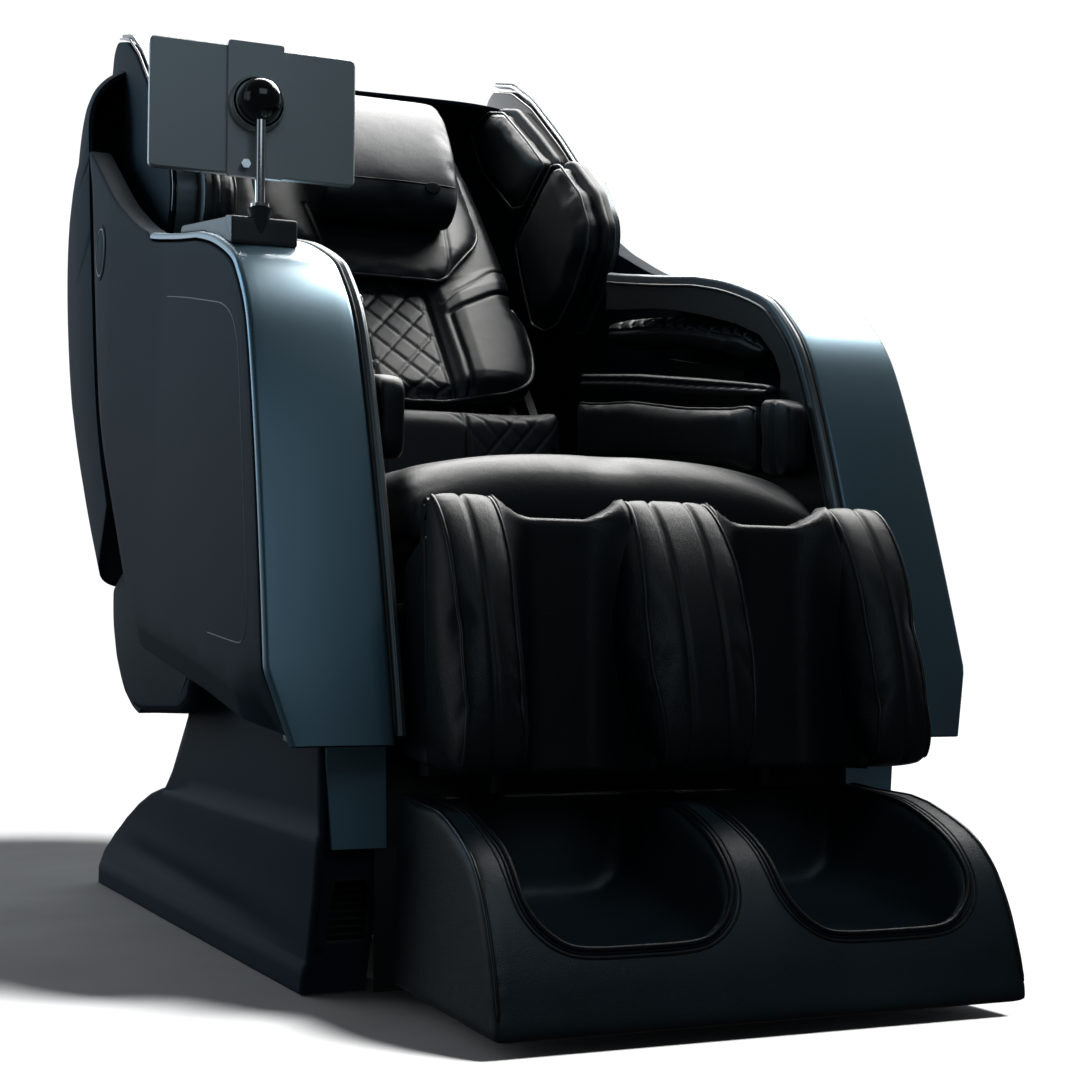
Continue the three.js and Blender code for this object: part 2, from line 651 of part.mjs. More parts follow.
function buildBack() {
  place('back_frame', backFrame(), steel, backGroup);
  place('massage_carriage', carriage(), darkPlastic, backGroup);
  placePair('massage_roller_upper', massageRoller(1), rubber, backGroup);
  placePair('massage_roller_lower', massageRoller(-1), rubber, backGroup);
  place('back_pad', backPad(), leather, backGroup);
  place('lower_back_pad', lowerBackPad(), leather);
  place('head_pillow', headPillow(), leather);
  place('back_shell', backShell(), shellPlastic);
  placePair('wing_shell', wingShell(), glossBlack);
  placePair('wing_upper_pad', wingUpperPad(), leather);
  placePair('wing_lower_pad', wingLowerPad(), leather);
}

// ---------------------------------------------------------------- leg rest
const CALF = { inner: 52, outer: 161, face: -640 };
const SLIDE = { x: 140, y: -560, radius: 7 }; // rods the foot section slides down on
const legFront = smooth([
  [-712, 208], [-723, 232], [-722, 260], [-715, 300], [-702, 345], [-688, 390], [-663, 432],
  [-640, 455],
], 8);
const legSide = [...legFront, [-614, 462], [-614, 208]];

function calfBolster() {
  return prismX(legSide, CALF.outer, LEG_HALF, 6);
}
function centreBolster() {
  const rear = prismX(rect(CALF.face - 8, 200, -600, 480), -100, 100);
  return cut(prismX(legSide, -CALF.inner, CALF.inner, 6), rear);
}
function calfPad() {
  const side = [[CALF.face - 7, 212], [CALF.face, 425, 10], [-614, 440, 6], [-614, 212]];
  return prismX(side, -CALF.outer + 1, CALF.outer - 1);
}
function legFrame() {
  const side = prismX([[-610, 205], [-586, 205], [-586, 430], ...arc(LEG_AXIS, 13, 0, 180, 5)], 214, 224);
  const cross = [206, 300, 370].map((z) => block(0, 224, -611, -591, z, z + 18));
  const bush = block(SLIDE.x - 12, SLIDE.x + 12, -592, SLIDE.y + 12, 206, 244);
  const bore = bar([SLIDE.x, SLIDE.y, 190], [SLIDE.x, SLIDE.y, 260], SLIDE.radius + RUN);
  const hole = rodX(LEG_AXIS, 7 + RUN, 200, 235);
  return bothSides(cut(join(side, ...cross, bush), hole, bore));
}

function buildLegRest() {
  place('leg_frame', legFrame(), steel);
  placePair('calf_bolster', calfBolster(), leather);
  place('centre_bolster', centreBolster(), leather);
  place('calf_pad', calfPad(), leather);
}

// ---------------------------------------------------------------- foot section
const footFront = smooth([
  [-834, FLOOR_CLEAR], [-820, 69], [-803, 108], [-779, 139], [-747, 159], [-694, 177], [-665, 181],
], 8);
const footSide = [...footFront, [-561, 187, 6], [-542, FLOOR_CLEAR]];
const WELL = { inner: 28, outer: 196, wall: 8 };
const wellSide = [[-812, 84], [-790, 70], [-640, 62], [-596, 74], [-582, 210], [-860, 210], [-840, 84]];

function wellPrism(grow) {
  return prismX(inset(wellSide, -grow), WELL.inner - grow, WELL.outer + grow);
}
const ROLLER_POCKET = { x0: 50, x1: 174, y0: -736, y1: -664, top: 50 };

function footHousing() {
  const { x0, x1, y0, y1, top } = ROLLER_POCKET;
  const body = prismX(footSide, -FOOT_HALF, FOOT_HALF);
  const well = wellPrism(WELL.wall + GAP);
  const pocket = block(x0, x1, y0, y1, 0, top);
  const rear = block(-FOOT_HALF + 20, FOOT_HALF - 20, SLIDE.y - 10, -500, 20, 220);
  return cut(body, well, mirrored(well), pocket, mirrored(pocket), rear);
}
function footLiner() {
  const body = prismX(footSide, -FOOT_HALF, FOOT_HALF);
  return cut(common(body, wellPrism(WELL.wall)), wellPrism(0));
}
const FOOT_ROLLER = { y: -700, z: 32 };
function footRoller() {
  const profile = [[0, -58], [5, -58], [5, -50], [16, -46], [16, -18], [11, -14], [11, 14], [16, 18],
    [16, 46], [5, 50], [5, 58], [0, 58]];
  const spun = new THREE.LatheGeometry(profile.map((p) => new THREE.Vector2(...p)), 10);
  return spun.rotateZ(-Math.PI / 2).translate(112, FOOT_ROLLER.y, FOOT_ROLLER.z);
}
function slideFrame() {
  const rod = bar([SLIDE.x, SLIDE.y, 60], [SLIDE.x, SLIDE.y, 350], SLIDE.radius);
  const crossBar = block(0, SLIDE.x + 10, SLIDE.y - 10 + GAP, SLIDE.y + 9, 100, 118);
  return bothSides(join(rod, crossBar));
}

function buildFootSection() {
  place('foot_housing', footHousing(), leather);
  placePair('foot_liner', footLiner(), leather);
  placePair('foot_roller', footRoller(), rubber);
  place('foot_slide_frame', slideFrame(), chrome);
}

// ---------------------------------------------------------------- tablet holder
const BALL = { x: TABLET.x, y: TABLET.y - 8, z: TABLET.z + 5, radius: 22 };
const SOCKET = { bottom: 731, top: 761 }; // conical socket of the holder's rod

function tabletClamp() {
  const { x, y } = BALL;
  const { bottom, top } = SOCKET;
  const foot = prismX([[y - 6, 722], [y + 26, 730], [y + 26, 758], [y - 6, 751]], x - 30, x + 38);
  const taper = new THREE.CylinderGeometry(12, 4, top - bottom, 20).rotateX(Math.PI / 2);
  const cone = taper.translate(x, y, (top + bottom) / 2);
  const tail = prismX([[y + 20, 730], [y + 250, 780], [y + 250, 797], [y + 20, 757]], x - 27, x + 28);
  const bore = bar([x, y, bottom + 11], [x, y, top + 10], 4.5 + RUN);
  return cut(join(foot, cone, tail), bore, prismX(inset(armSide, -GAP), -420, -200));
}
function tabletArm() {
  const { x, y, z, radius } = BALL;
  const rod = bar([x, y, SOCKET.bottom + 12], [x, y, z], 4.5);
  const collar = bar([x, y, SOCKET.top + 1], [x, y, SOCKET.top + 5], 9);
  const ball = new THREE.SphereGeometry(radius, 16, 10).rotateX(Math.PI / 2).translate(x, y, z);
  return join(rod, collar, ball);
}
function tabletSlab() {
  const { x, y, z, width, height, thick } = TABLET;
  const face = rect(x - width / 2, z - height / 2, x + width / 2, z + height / 2, 6);
  return prismY(face, y + 18, y + 18 + thick, 1.5);
}
function tabletBracket() {
  const { x, y, z, height } = TABLET;
  const band = rect(x - 29, z - height / 2 - 3, x + 29, z + height / 2 + 3, 3);
  const cup = new THREE.CylinderGeometry(27, 27, 14, 20).translate(x, y + 8, z + 5);
  const seat = new THREE.SphereGeometry(BALL.radius + RUN + 1, 16, 10).translate(x, BALL.y, BALL.z);
  return cut(join(prismY(band, y + 12, y + 18 - GAP), cup), seat);
}

function buildTabletHolder() {
  place('tablet_clamp', tabletClamp(), darkPlastic);
  place('tablet_arm', tabletArm(), chrome);
  place('tablet', tabletSlab(), slateMetal);
  place('tablet_bracket', tabletBracket(), slateMetal);
}

buildBase();
buildArms();
buildSeat();
buildBack();
buildLegRest();
buildFootSection();
buildTabletHolder();

export default chair;
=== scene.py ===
import json
import math

import bmesh
import bpy
import numpy as np
from mathutils import Matrix, Vector
from mathutils.bvhtree import BVHTree
from mathutils.geometry import delaunay_2d_cdt

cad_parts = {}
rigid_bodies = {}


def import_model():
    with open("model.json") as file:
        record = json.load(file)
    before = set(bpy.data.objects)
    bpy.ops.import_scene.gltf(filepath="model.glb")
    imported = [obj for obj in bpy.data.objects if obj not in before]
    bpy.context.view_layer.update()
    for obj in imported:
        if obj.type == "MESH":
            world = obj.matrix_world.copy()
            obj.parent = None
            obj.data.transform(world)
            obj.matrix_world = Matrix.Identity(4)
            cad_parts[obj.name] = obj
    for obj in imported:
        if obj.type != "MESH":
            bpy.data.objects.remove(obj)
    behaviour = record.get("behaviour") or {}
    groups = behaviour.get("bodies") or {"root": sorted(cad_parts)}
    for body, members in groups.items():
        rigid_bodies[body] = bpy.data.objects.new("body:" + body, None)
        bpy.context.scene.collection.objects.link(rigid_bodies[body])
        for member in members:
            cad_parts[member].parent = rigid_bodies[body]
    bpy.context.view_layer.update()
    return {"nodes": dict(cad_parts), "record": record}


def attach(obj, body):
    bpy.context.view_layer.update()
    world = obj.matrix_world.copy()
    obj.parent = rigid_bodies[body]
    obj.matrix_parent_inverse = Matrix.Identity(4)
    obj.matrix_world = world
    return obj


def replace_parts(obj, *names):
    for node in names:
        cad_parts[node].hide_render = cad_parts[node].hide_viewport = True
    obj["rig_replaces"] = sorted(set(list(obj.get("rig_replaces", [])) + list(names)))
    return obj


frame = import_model()
NODES = frame["nodes"]
MM = 0.001
SIDES = (("right", 1), ("left", -1))
SETTLE_FRAMES = 20

# ------------------------------------------------------------------ driving dimensions, mm
PANEL = dict(inner=250, outer=365, thick=8)
ARM_LEAN = 11
SHELL_X = (336.5, 366)
BACK_FOOT = (77, 660)
LEAN = math.radians(39.2)

ARM_FRONT = [(-600, 233), (-584, 300), (-557, 398), (-526, 497), (-492, 590), (-464, 646), (-425, 688),
             (-390, 712), (-310, 743), (-230, 765)]
ARM_TOP = [(-230, 765), (-95, 792), (48, 826), (166, 876), (219, 903), (425, 1022)]
ARM_REAR = [(425, 1022), (406, 930), (350, 700), (299, 586), (160, 424), (94, 360)]
SHELL_REAR = [(322, 402), (480, 532), (634, 692), (703, 860), (698, 1004), (655, 1116), (594, 1182), (530, 1206)]
SHELL_FRONT = [(243, 508), (306, 588), (358, 700), (416, 930), (436, 1032)]
GROOVE_FADE = ((-235, 378), (87, 722))
SKIRT_TOP = [(-546, 288), (-5, 288), (13, 269), (26, 242), (65, 211), (115, 172), (156, 150), (240, 137),
             (320, 119), (400, 95), (460, 70), (505, 42), (528, 20)]
GROOVE = [(102, 757), (-197, 698), (-369, 661), (-416, 640), (-440, 609), (-466, 520), (-491, 435), (-519, 336),
          (-510, 321), (-461, 325), (-307, 340), (-235, 378), (87, 722)]


# ------------------------------------------------------------------ curves
def spline(points, steps):
    """A smooth curve through points, sampled at equal parameter steps."""
    p = np.array(points, float)
    out = []
    for k in range(steps + 1):
        t = k / steps * (len(p) - 1)
        i = min(int(t), len(p) - 2)
        w = t - i
        a, b, c, d = p[max(i - 1, 0)], p[i], p[i + 1], p[min(i + 2, len(p) - 1)]
        v0, v1 = (c - a) * 0.5, (d - b) * 0.5
        out.append((2 * b - 2 * c + v0 + v1) * w ** 3 + (-3 * b + 3 * c - 2 * v0 - v1) * w ** 2 + v0 * w + b)
    return np.array(out)


def resample(points, step, closed=False):
    """Points at equal distances along a polyline."""
    p = np.array(points, float)
    if closed:
        p = np.vstack([p, p[:1]])
    run = np.concatenate([[0], np.cumsum(np.linalg.norm(np.diff(p, axis=0), axis=1))])
    n = max(2, int(round(run[-1] / step)))
    at = np.linspace(0, run[-1], n + 1)
    out = np.stack([np.interp(at, run, p[:, k]) for k in range(p.shape[1])], axis=1)
    return out[:-1] if closed else out


def relax(points, rounds, closed=False):
    """Rounds the corners of a polyline."""
    p = np.array(points, float)
    for _ in range(rounds):
        q = (np.roll(p, 1, 0) + 2 * p + np.roll(p, -1, 0)) / 4
        if not closed:
            q[0], q[-1] = p[0], p[-1]
        p = q
    return p


def normals2(loop, closed=True):
    """Left-hand normals of a 2-D polyline."""
    if closed:
        d = np.roll(loop, -1, 0) - np.roll(loop, 1, 0)
    else:
        d = np.gradient(loop, axis=0)
    d /= np.linalg.norm(d, axis=1)[:, None] + 1e-12
    return np.stack([-d[:, 1], d[:, 0]], axis=1)


def area2(loop):
    x, y = loop[:, 0], loop[:, 1]
    return 0.5 * np.sum(x * np.roll(y, -1) - y * np.roll(x, -1))


def inward(loop, distance):
    """A closed 2-D loop moved inwards."""
    side = 1 if area2(loop) > 0 else -1
    return loop + normals2(loop) * distance * side


# ------------------------------------------------------------------ meshes
def piece(name, verts, faces, material, body, slot, smooth=True, sharp=None):
    """A mesh object from vertices in mm, riding on a body."""
    mesh = bpy.data.meshes.new(name)
    mesh.from_pydata([tuple(float(c) * MM for c in v) for v in verts], [], [tuple(map(int, f)) for f in faces])
    mesh.validate()
    bm = bmesh.new()
    bm.from_mesh(mesh)
    bmesh.ops.remove_doubles(bm, verts=bm.verts, dist=1e-6)
    bmesh.ops.recalc_face_normals(bm, faces=bm.faces)
    bm.to_mesh(mesh)
    bm.free()
    mesh.polygons.foreach_set("use_smooth", [smooth] * len(mesh.polygons))
    obj = bpy.data.objects.new(name, mesh)
    bpy.context.scene.collection.objects.link(obj)
    mesh.materials.append(material)
    if sharp is not None:
        mesh.set_sharp_from_angle(angle=math.radians(sharp))
    if body:
        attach(obj, body)
    return obj


def grid_faces(rows, cols, close_rows=False, close_cols=False):
    faces = []
    for i in range(rows if close_rows else rows - 1):
        for j in range(cols if close_cols else cols - 1):
            a, b = i * cols + j, i * cols + (j + 1) % cols
            c, d = ((i + 1) % rows) * cols + (j + 1) % cols, ((i + 1) % rows) * cols + j
            faces.append((a, b, c, d))
    return faces


def loft(rings, caps=True):
    """Vertices and faces of closed rings of equal length joined in order, with flat ends."""
    rings = [np.array(r, float) for r in rings]
    n = len(rings[0])
    verts = np.vstack(rings)
    faces = grid_faces(len(rings), n, close_cols=True)
    if caps:
        faces.append(tuple(range(n))[::-1])
        faces.append(tuple(range(len(verts) - n, len(verts))))
    return verts, faces


def tube_mesh(points, radius, closed=False, sides=8):
    """A round tube along 3-D points; its ends are drawn in."""
    p = np.array(points, float)
    n = len(p)
    tangent = (np.roll(p, -1, 0) - np.roll(p, 1, 0)) if closed else np.gradient(p, axis=0)
    tangent /= np.linalg.norm(tangent, axis=1)[:, None] + 1e-12
    normal = np.cross(tangent[0], (0.0, 0.0, 1.0) if abs(tangent[0][2]) < 0.9 else (1.0, 0.0, 0.0))
    rings = []
    for k in range(n):
        normal = normal - tangent[k] * normal.dot(tangent[k])
        normal /= np.linalg.norm(normal) + 1e-12
        other = np.cross(tangent[k], normal)
        r = radius if closed or 0 < k < n - 1 else radius * 0.4
        turn = [2 * math.pi * s / sides for s in range(sides)]
        rings.append([p[k] + r * (math.cos(t) * normal + math.sin(t) * other) for t in turn])
    verts = np.array(rings).reshape(-1, 3)
    faces = grid_faces(n, sides, close_rows=closed, close_cols=True)
    if not closed:
        faces += [tuple(range(sides))[::-1], tuple(range(len(verts) - sides, len(verts)))]
    return verts, faces


def merged(parts):
    verts, faces, base = [], [], 0
    for v, f in parts:
        verts.append(np.array(v, float))
        faces += [tuple(i + base for i in face) for face in f]
        base += len(v)
    return np.vstack(verts), faces


def mirror(verts):
    return np.array(verts, float) * (-1, 1, 1)


def pair(name, verts, faces, material, body, slot, **how):
    """The right piece and its mirror image."""
    made = []
    for side, sign in SIDES:
        v = np.array(verts, float) if sign > 0 else mirror(verts)
        made.append(piece(f"{name}_{side}", v, faces, material, body, slot, **how))
    return made


def prism(outline, axis, a, b, fillet=0.0, steps=4):
    """A slab with rounded edges: its outline is in the plane across axis, from a to b, in mm."""
    loop = np.array(outline, float)
    rings = []
    for k in range(steps + 1):
        t = math.pi / 2 * k / steps
        rings.append((inward(loop, fillet * (1 - math.sin(t))), a + fillet * (1 - math.cos(t))))
    for k in range(steps + 1):
        t = math.pi / 2 * (1 - k / steps)
        rings.append((inward(loop, fillet * (1 - math.sin(t))), b - fillet * (1 - math.cos(t))))
    if not fillet:
        rings = [(loop, a), (loop, b)]

    def point(uv, w):
        u, v = uv
        return {"x": (w, u, v), "y": (u, w, v), "z": (u, v, w)}[axis]

    return loft([[point(uv, w) for uv in ring] for ring, w in rings])


# ------------------------------------------------------------------ materials
def material(name, color, roughness, metallic=0.0, coat=0.0, coat_rough=0.1, specular=0.5):
    mat = bpy.data.materials.new(name)
    mat.use_nodes = True
    shader = mat.node_tree.nodes["Principled BSDF"]
    shader.inputs["Base Color"].default_value = (*color, 1)
    shader.inputs["Roughness"].default_value = roughness
    shader.inputs["Metallic"].default_value = metallic
    shader.inputs["Coat Weight"].default_value = coat
    shader.inputs["Coat Roughness"].default_value = coat_rough
    shader.inputs["Specular IOR Level"].default_value = specular
    return mat, shader


def node(mat, kind, **values):
    made = mat.node_tree.nodes.new(kind)
    for key, value in values.items():
        if key in made.inputs:
            made.inputs[key].default_value = value
        else:
            setattr(made, key, value)
    return made


def link(mat, out, into):
    mat.node_tree.links.new(out, into)


def coordinates(mat):
    return node(mat, "ShaderNodeTexCoord").outputs["Object"]


def mottle(mat, shader, color, spread, scale):
    """Slow, slight variation of the base colour."""
    noise = node(mat, "ShaderNodeTexNoise", Scale=scale, Detail=3.0)
    link(mat, coordinates(mat), noise.inputs["Vector"])
    ramp = node(mat, "ShaderNodeValToRGB")
    low, high = ramp.color_ramp.elements
    low.position, high.position = 0.3, 0.7
    low.color = (*[c * (1 - spread) for c in color], 1)
    high.color = (*[c * (1 + spread) for c in color], 1)
    link(mat, noise.outputs["Fac"], ramp.inputs["Fac"])
    link(mat, ramp.outputs["Color"], shader.inputs["Base Color"])
    return noise


def rough_range(mat, shader, source, low, high):
    span = node(mat, "ShaderNodeMapRange")
    span.inputs["To Min"].default_value = low
    span.inputs["To Max"].default_value = high
    link(mat, source, span.inputs["Value"])
    link(mat, span.outputs["Result"], shader.inputs["Roughness"])


def bump(mat, shader, height, strength, distance, before=None):
    made = node(mat, "ShaderNodeBump", Strength=strength, Distance=distance)
    link(mat, height, made.inputs["Height"])
    if before is not None:
        link(mat, before, made.inputs["Normal"])
    link(mat, made.outputs["Normal"], shader.inputs["Normal"])
    return made.outputs["Normal"]


def leather(name, color, roughness=0.4, grain=0.22, scale=520.0, coat=0.0, specular=0.36):
    mat, shader = material(name, color, roughness, coat=coat, coat_rough=0.25, specular=specular)
    noise = mottle(mat, shader, color, 0.18, 9.0)
    cells = node(mat, "ShaderNodeTexVoronoi", Scale=scale, feature="DISTANCE_TO_EDGE")
    link(mat, coordinates(mat), cells.inputs["Vector"])
    pores = node(mat, "ShaderNodeMapRange")
    pores.inputs["From Max"].default_value = 0.18
    link(mat, cells.outputs["Distance"], pores.inputs["Value"])
    creases = node(mat, "ShaderNodeTexNoise", Scale=38.0, Detail=5.0, Distortion=0.4)
    link(mat, coordinates(mat), creases.inputs["Vector"])
    soft_normal = bump(mat, shader, creases.outputs["Fac"], 0.12, 0.004)
    bump(mat, shader, pores.outputs["Result"], grain, 0.0004, before=soft_normal)
    rough_range(mat, shader, noise.outputs["Fac"], roughness - 0.05, roughness + 0.07)
    return mat


def moulded(name, color, roughness, texture=0.25, scale=900.0, coat=0.0, specular=0.5):
    mat, shader = material(name, color, roughness, coat=coat, specular=specular)
    mottle(mat, shader, color, 0.07, 5.0)
    spark = node(mat, "ShaderNodeTexNoise", Scale=scale, Detail=2.0)
    link(mat, coordinates(mat), spark.inputs["Vector"])
    bump(mat, shader, spark.outputs["Fac"], texture, 0.0003)
    rough_range(mat, shader, spark.outputs["Fac"], roughness - 0.06, roughness + 0.06)
    return mat


def satin_metal(name, color, roughness, metallic, flake=1600.0, coat=0.25):
    mat, shader = material(name, color, roughness, metallic, coat=coat, coat_rough=0.18)
    mottle(mat, shader, color, 0.06, 3.0)
    flakes = node(mat, "ShaderNodeTexVoronoi", Scale=flake)
    link(mat, coordinates(mat), flakes.inputs["Vector"])
    bump(mat, shader, flakes.outputs["Distance"], 0.06, 0.0002)
    rough_range(mat, shader, flakes.outputs["Distance"], roughness - 0.04, roughness + 0.05)
    return mat


def polished(name, color, roughness, metallic=1.0):
    mat, shader = material(name, color, roughness, metallic)
    smear = node(mat, "ShaderNodeTexNoise", Scale=26.0, Detail=4.0)
    link(mat, coordinates(mat), smear.inputs["Vector"])
    rough_range(mat, shader, smear.outputs["Fac"], roughness * 0.7, roughness * 1.5)
    bump(mat, shader, smear.outputs["Fac"], 0.02, 0.001)
    return mat


LEATHER = leather("leather_black", (0.0052, 0.009, 0.0118))
LEATHER_SLATE = leather("leather_slate", (0.013, 0.017, 0.021), roughness=0.4)
PIPING = leather("piping_leather", (0.012, 0.0145, 0.017), roughness=0.3, grain=0.1)
PIPING_LIGHT = leather("piping_light", (0.06, 0.068, 0.075), roughness=0.28, grain=0.08)
LEATHER_FOOT = leather("leather_foot", (0.0075, 0.0125, 0.0155), roughness=0.44, specular=0.2)
SOCKET_GREY = moulded("socket_grey", (0.035, 0.038, 0.042), 0.45)
SHELL = moulded("shell_plastic", (0.012, 0.023, 0.034), 0.62, specular=0.04)
DARK = moulded("dark_plastic", (0.006, 0.0075, 0.009), 0.5)
PANEL_PAINT = satin_metal("panel_paint", (0.092, 0.172, 0.222), 0.38, 0.6, coat=0.35)
TRIM_PAINT = satin_metal("trim_paint", (0.1, 0.125, 0.14), 0.36, 0.45)
# Front inserts of the base: a much lighter copy of the panel paint, painted light standing in for the light the inserts
# lack in the panel's shadow.
INSERT_PAINTED_LIGHT = satin_metal("insert_paint", (0.2, 0.36, 0.46), 0.4, 0.5)
TABLET_PAINT = satin_metal("tablet_paint", (0.4, 0.44, 0.45), 0.42, 0.35)
GLOSS = moulded("gloss_black", (0.004, 0.005, 0.006), 0.12, texture=0.03, coat=0.6)
CHROME = polished("chrome", (0.8, 0.82, 0.84), 0.09)
STEEL = moulded("frame_coating", (0.02, 0.022, 0.025), 0.42)
RUBBER = moulded("rubber", (0.008, 0.008, 0.008), 0.75, texture=0.4, scale=500.0)
PAINT_OF_SLOT = {
    "shell_plastic": SHELL, "panel_blue": PANEL_PAINT, "leather": LEATHER, "dark_plastic": DARK,
    "gloss_black": GLOSS, "frame_steel": STEEL, "chrome": CHROME, "tablet_slate": TABLET_PAINT, "rubber": RUBBER,
}
for part in frame["record"]["subparts"]:
    cad = NODES[part["node"]]
    cad.data.materials.clear()
    cad.data.materials.append(PAINT_OF_SLOT[part["material_slot"]])


def soften_edges(names, width=1.5, angle=30):
    """Small rounded edges and smooth shading on CAD nodes whose shape is right."""
    for name in names:
        cad = NODES[name]
        cad.data.polygons.foreach_set("use_smooth", [True] * len(cad.data.polygons))
        flat = cad.modifiers.new("merge_flats", "DECIMATE")
        flat.decimate_type = "DISSOLVE"
        flat.angle_limit = math.radians(1.0)
        edge = cad.modifiers.new("rounded_edges", "BEVEL")
        edge.width = width * MM
        edge.segments = 2
        edge.limit_method = "ANGLE"
        edge.angle_limit = math.radians(angle)
        edge.harden_normals = False
        edge.use_clamp_overlap = True
        shade = cad.modifiers.new("face_weighting", "WEIGHTED_NORMAL")
        shade.keep_sharp = False
        shade.weight = 60


soften_edges([
    "base_cover_right", "base_cover_left", "base_rear_cover", "base_front_insert_right", "base_front_insert_left",
    "arm_liner_right", "arm_liner_left", "tablet", "tablet_bracket", "tablet_clamp", "belly_cover", "power_box",
    "base_frame", "seat_frame", "back_frame", "leg_frame", "massage_carriage",
])


# ------------------------------------------------------------------ hard pieces
def lean_in(verts):
    """The front half of an arm's outer face leans towards the seat as it rises."""
    v = np.array(verts, float)
    rise = np.clip((v[:, 2] - 300) / 420, 0, 1)
    front = np.clip((250 - v[:, 1]) / 300, 0, 1)
    share = np.clip((np.abs(v[:, 0]) - 300) / 60, 0, 1)
    v[:, 0] -= np.sign(v[:, 0]) * ARM_LEAN * rise * front * share
    return v


def panel_loft(path, section, taper=None):
    """A strip along a (y, z) path; section gives (x, depth) points, depth to the path's right."""
    side = -normals2(path, closed=False)
    rings = []
    for (y, z), (ny, nz) in zip(path, side):
        ring = []
        for x, depth in section:
            if taper:
                x = taper(x, z)
            ring.append((x, y + ny * depth, z + nz * depth))
        rings.append(ring)
    return loft(rings)


def panel_taper(x, z):
    low = PANEL["outer"] - 20 * np.clip((300 - z) / 67, 0, 1)
    return PANEL["inner"] + (x - PANEL["inner"]) * (low - PANEL["inner"]) / (PANEL["outer"] - PANEL["inner"])


def rounded_section(x0, x1, thick, radius, crown, steps=5):
    """Cross-section of a panel: crowned face, rounded edges, flat back."""
    points = [(x0, thick)]
    for k in range(steps + 1):
        t = math.pi / 2 * k / steps
        points.append((x0 + radius * (1 - math.cos(t)), crown + radius * (1 - math.sin(t))))
    for k in range(1, 8):
        u = k / 8
        points.append((x0 + radius + (x1 - x0 - 2 * radius) * u, crown * (2 * u - 1) ** 2))
    for k in range(steps + 1):
        t = math.pi / 2 * (1 - k / steps)
        points.append((x1 - radius * (1 - math.cos(t)), crown + radius * (1 - math.sin(t))))
    points.append((x1, thick))
    return points


arm_front = spline(ARM_FRONT, 90)
arm_top = spline(ARM_TOP, 60)
arm_rear = spline(ARM_REAR, 40)
arm_crest = np.vstack([arm_front, arm_top[1:]])
panel_run = resample(arm_crest[arm_crest[:, 0] < 15], 8)
section = rounded_section(PANEL["inner"], PANEL["outer"], PANEL["thick"], 5.5, 1.2)
verts, faces = panel_loft(panel_run, section, panel_taper)
for made in pair("waterfall_panel", lean_in(verts), faces, PANEL_PAINT, "seat", "panel_blue", sharp=50):
    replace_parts(made, made.name.replace("waterfall", "front"))

# The lower lip of the panel, its dark seal and its lit inner trim.
lip = prism([(-598, 231.5), (-597, 238), (-556, 242), (-556, 236)], "x", 252, 341, 1.2)
pair("panel_lip", *lip, DARK, "seat", "dark_plastic")
trim_run = resample(panel_run[panel_run[:, 1] > 236], 8)
trim = panel_loft(trim_run, rounded_section(239, 249.2, 16, 3.5, 0.6))
pair("arm_trim", *trim, TRIM_PAINT, "seat", "panel_blue", sharp=50)
seam_path = [(x, y, z) for x in (249.7,) for y, z in trim_run - normals2(trim_run, False) * 2.2]
pair("arm_trim_seam", *tube_mesh(seam_path, 1.7), DARK, "seat", "dark_plastic")
inner_path = [(238.6, y, z) for y, z in trim_run - normals2(trim_run, False) * 13]
pair("arm_trim_welt", *tube_mesh(inner_path, 2.2), PIPING, "seat", "leather")

def inside(points, loop):
    """Which 2-D points lie inside a closed loop."""
    hit = np.zeros(len(points), bool)
    for (x0, y0), (x1, y1) in zip(loop, np.roll(loop, -1, 0)):
        crosses = (points[:, 1] < y0) != (points[:, 1] < y1)
        with np.errstate(divide="ignore", invalid="ignore"):
            at = x0 + (points[:, 1] - y0) / (y1 - y0) * (x1 - x0)
        hit ^= crosses & (points[:, 0] < at)
    return hit


def near_segment(points, a, b):
    """Distance from 2-D points to the segment between a and b."""
    a, d = np.array(a, float), np.array(b, float) - np.array(a, float)
    along = np.clip((points - a) @ d / (d @ d), 0, 1)
    return np.linalg.norm(points - (a + along[:, None] * d), axis=1)


def face_with_grooves(ring, x, grooves, spacing=18):
    """A flat face inside a (y, z) ring at x, with V grooves (loop, half width, depth) pressed into it."""
    points, depth, edges = [tuple(p) for p in ring], [0.0] * len(ring), []
    edges += [(i, (i + 1) % len(ring)) for i in range(len(ring))]
    near = [np.array(ring)]
    for loop, half, deep in grooves:
        fade = np.clip((near_segment(loop, *GROOVE_FADE) - 60) / 110, 0, 1)
        for offset, fall in ((-half, 0.0), (-half * 0.35, deep), (half * 0.35, deep), (half, 0.0)):
            line = inward(loop, offset)
            base = len(points)
            points += [tuple(p) for p in line]
            depth += list(fall * fade)
            edges += [(base + i, base + (i + 1) % len(line)) for i in range(len(line))]
        near.append(loop)
    low, high = np.min(ring, axis=0), np.max(ring, axis=0)
    lattice = np.array([(u, v) for u in np.arange(low[0], high[0], spacing) for v in np.arange(low[1], high[1], spacing)])
    lattice = lattice[inside(lattice, np.array(ring))]
    crowd = np.vstack(near)
    clear = np.array([np.min(np.linalg.norm(crowd - p, axis=1)) > 7 for p in lattice])
    for p in lattice[clear]:
        points.append(tuple(p))
        depth.append(0.0)
    flat, _, faces, _, _, _ = delaunay_2d_cdt([Vector(p) for p in points], edges, [], 0, 1e-4)
    flat = np.array([tuple(p) for p in flat])
    middle = np.array([flat[list(f)].mean(axis=0) for f in faces])
    kept = inside(middle, np.array(ring))
    source = np.array(points)
    fall = np.array(depth)[[int(np.argmin(np.abs(source - p).sum(axis=1))) for p in flat]]
    verts = np.stack([x - fall, flat[:, 0], flat[:, 1]], axis=1)
    return verts, [tuple(f) for f, keep in zip(faces, kept) if keep]


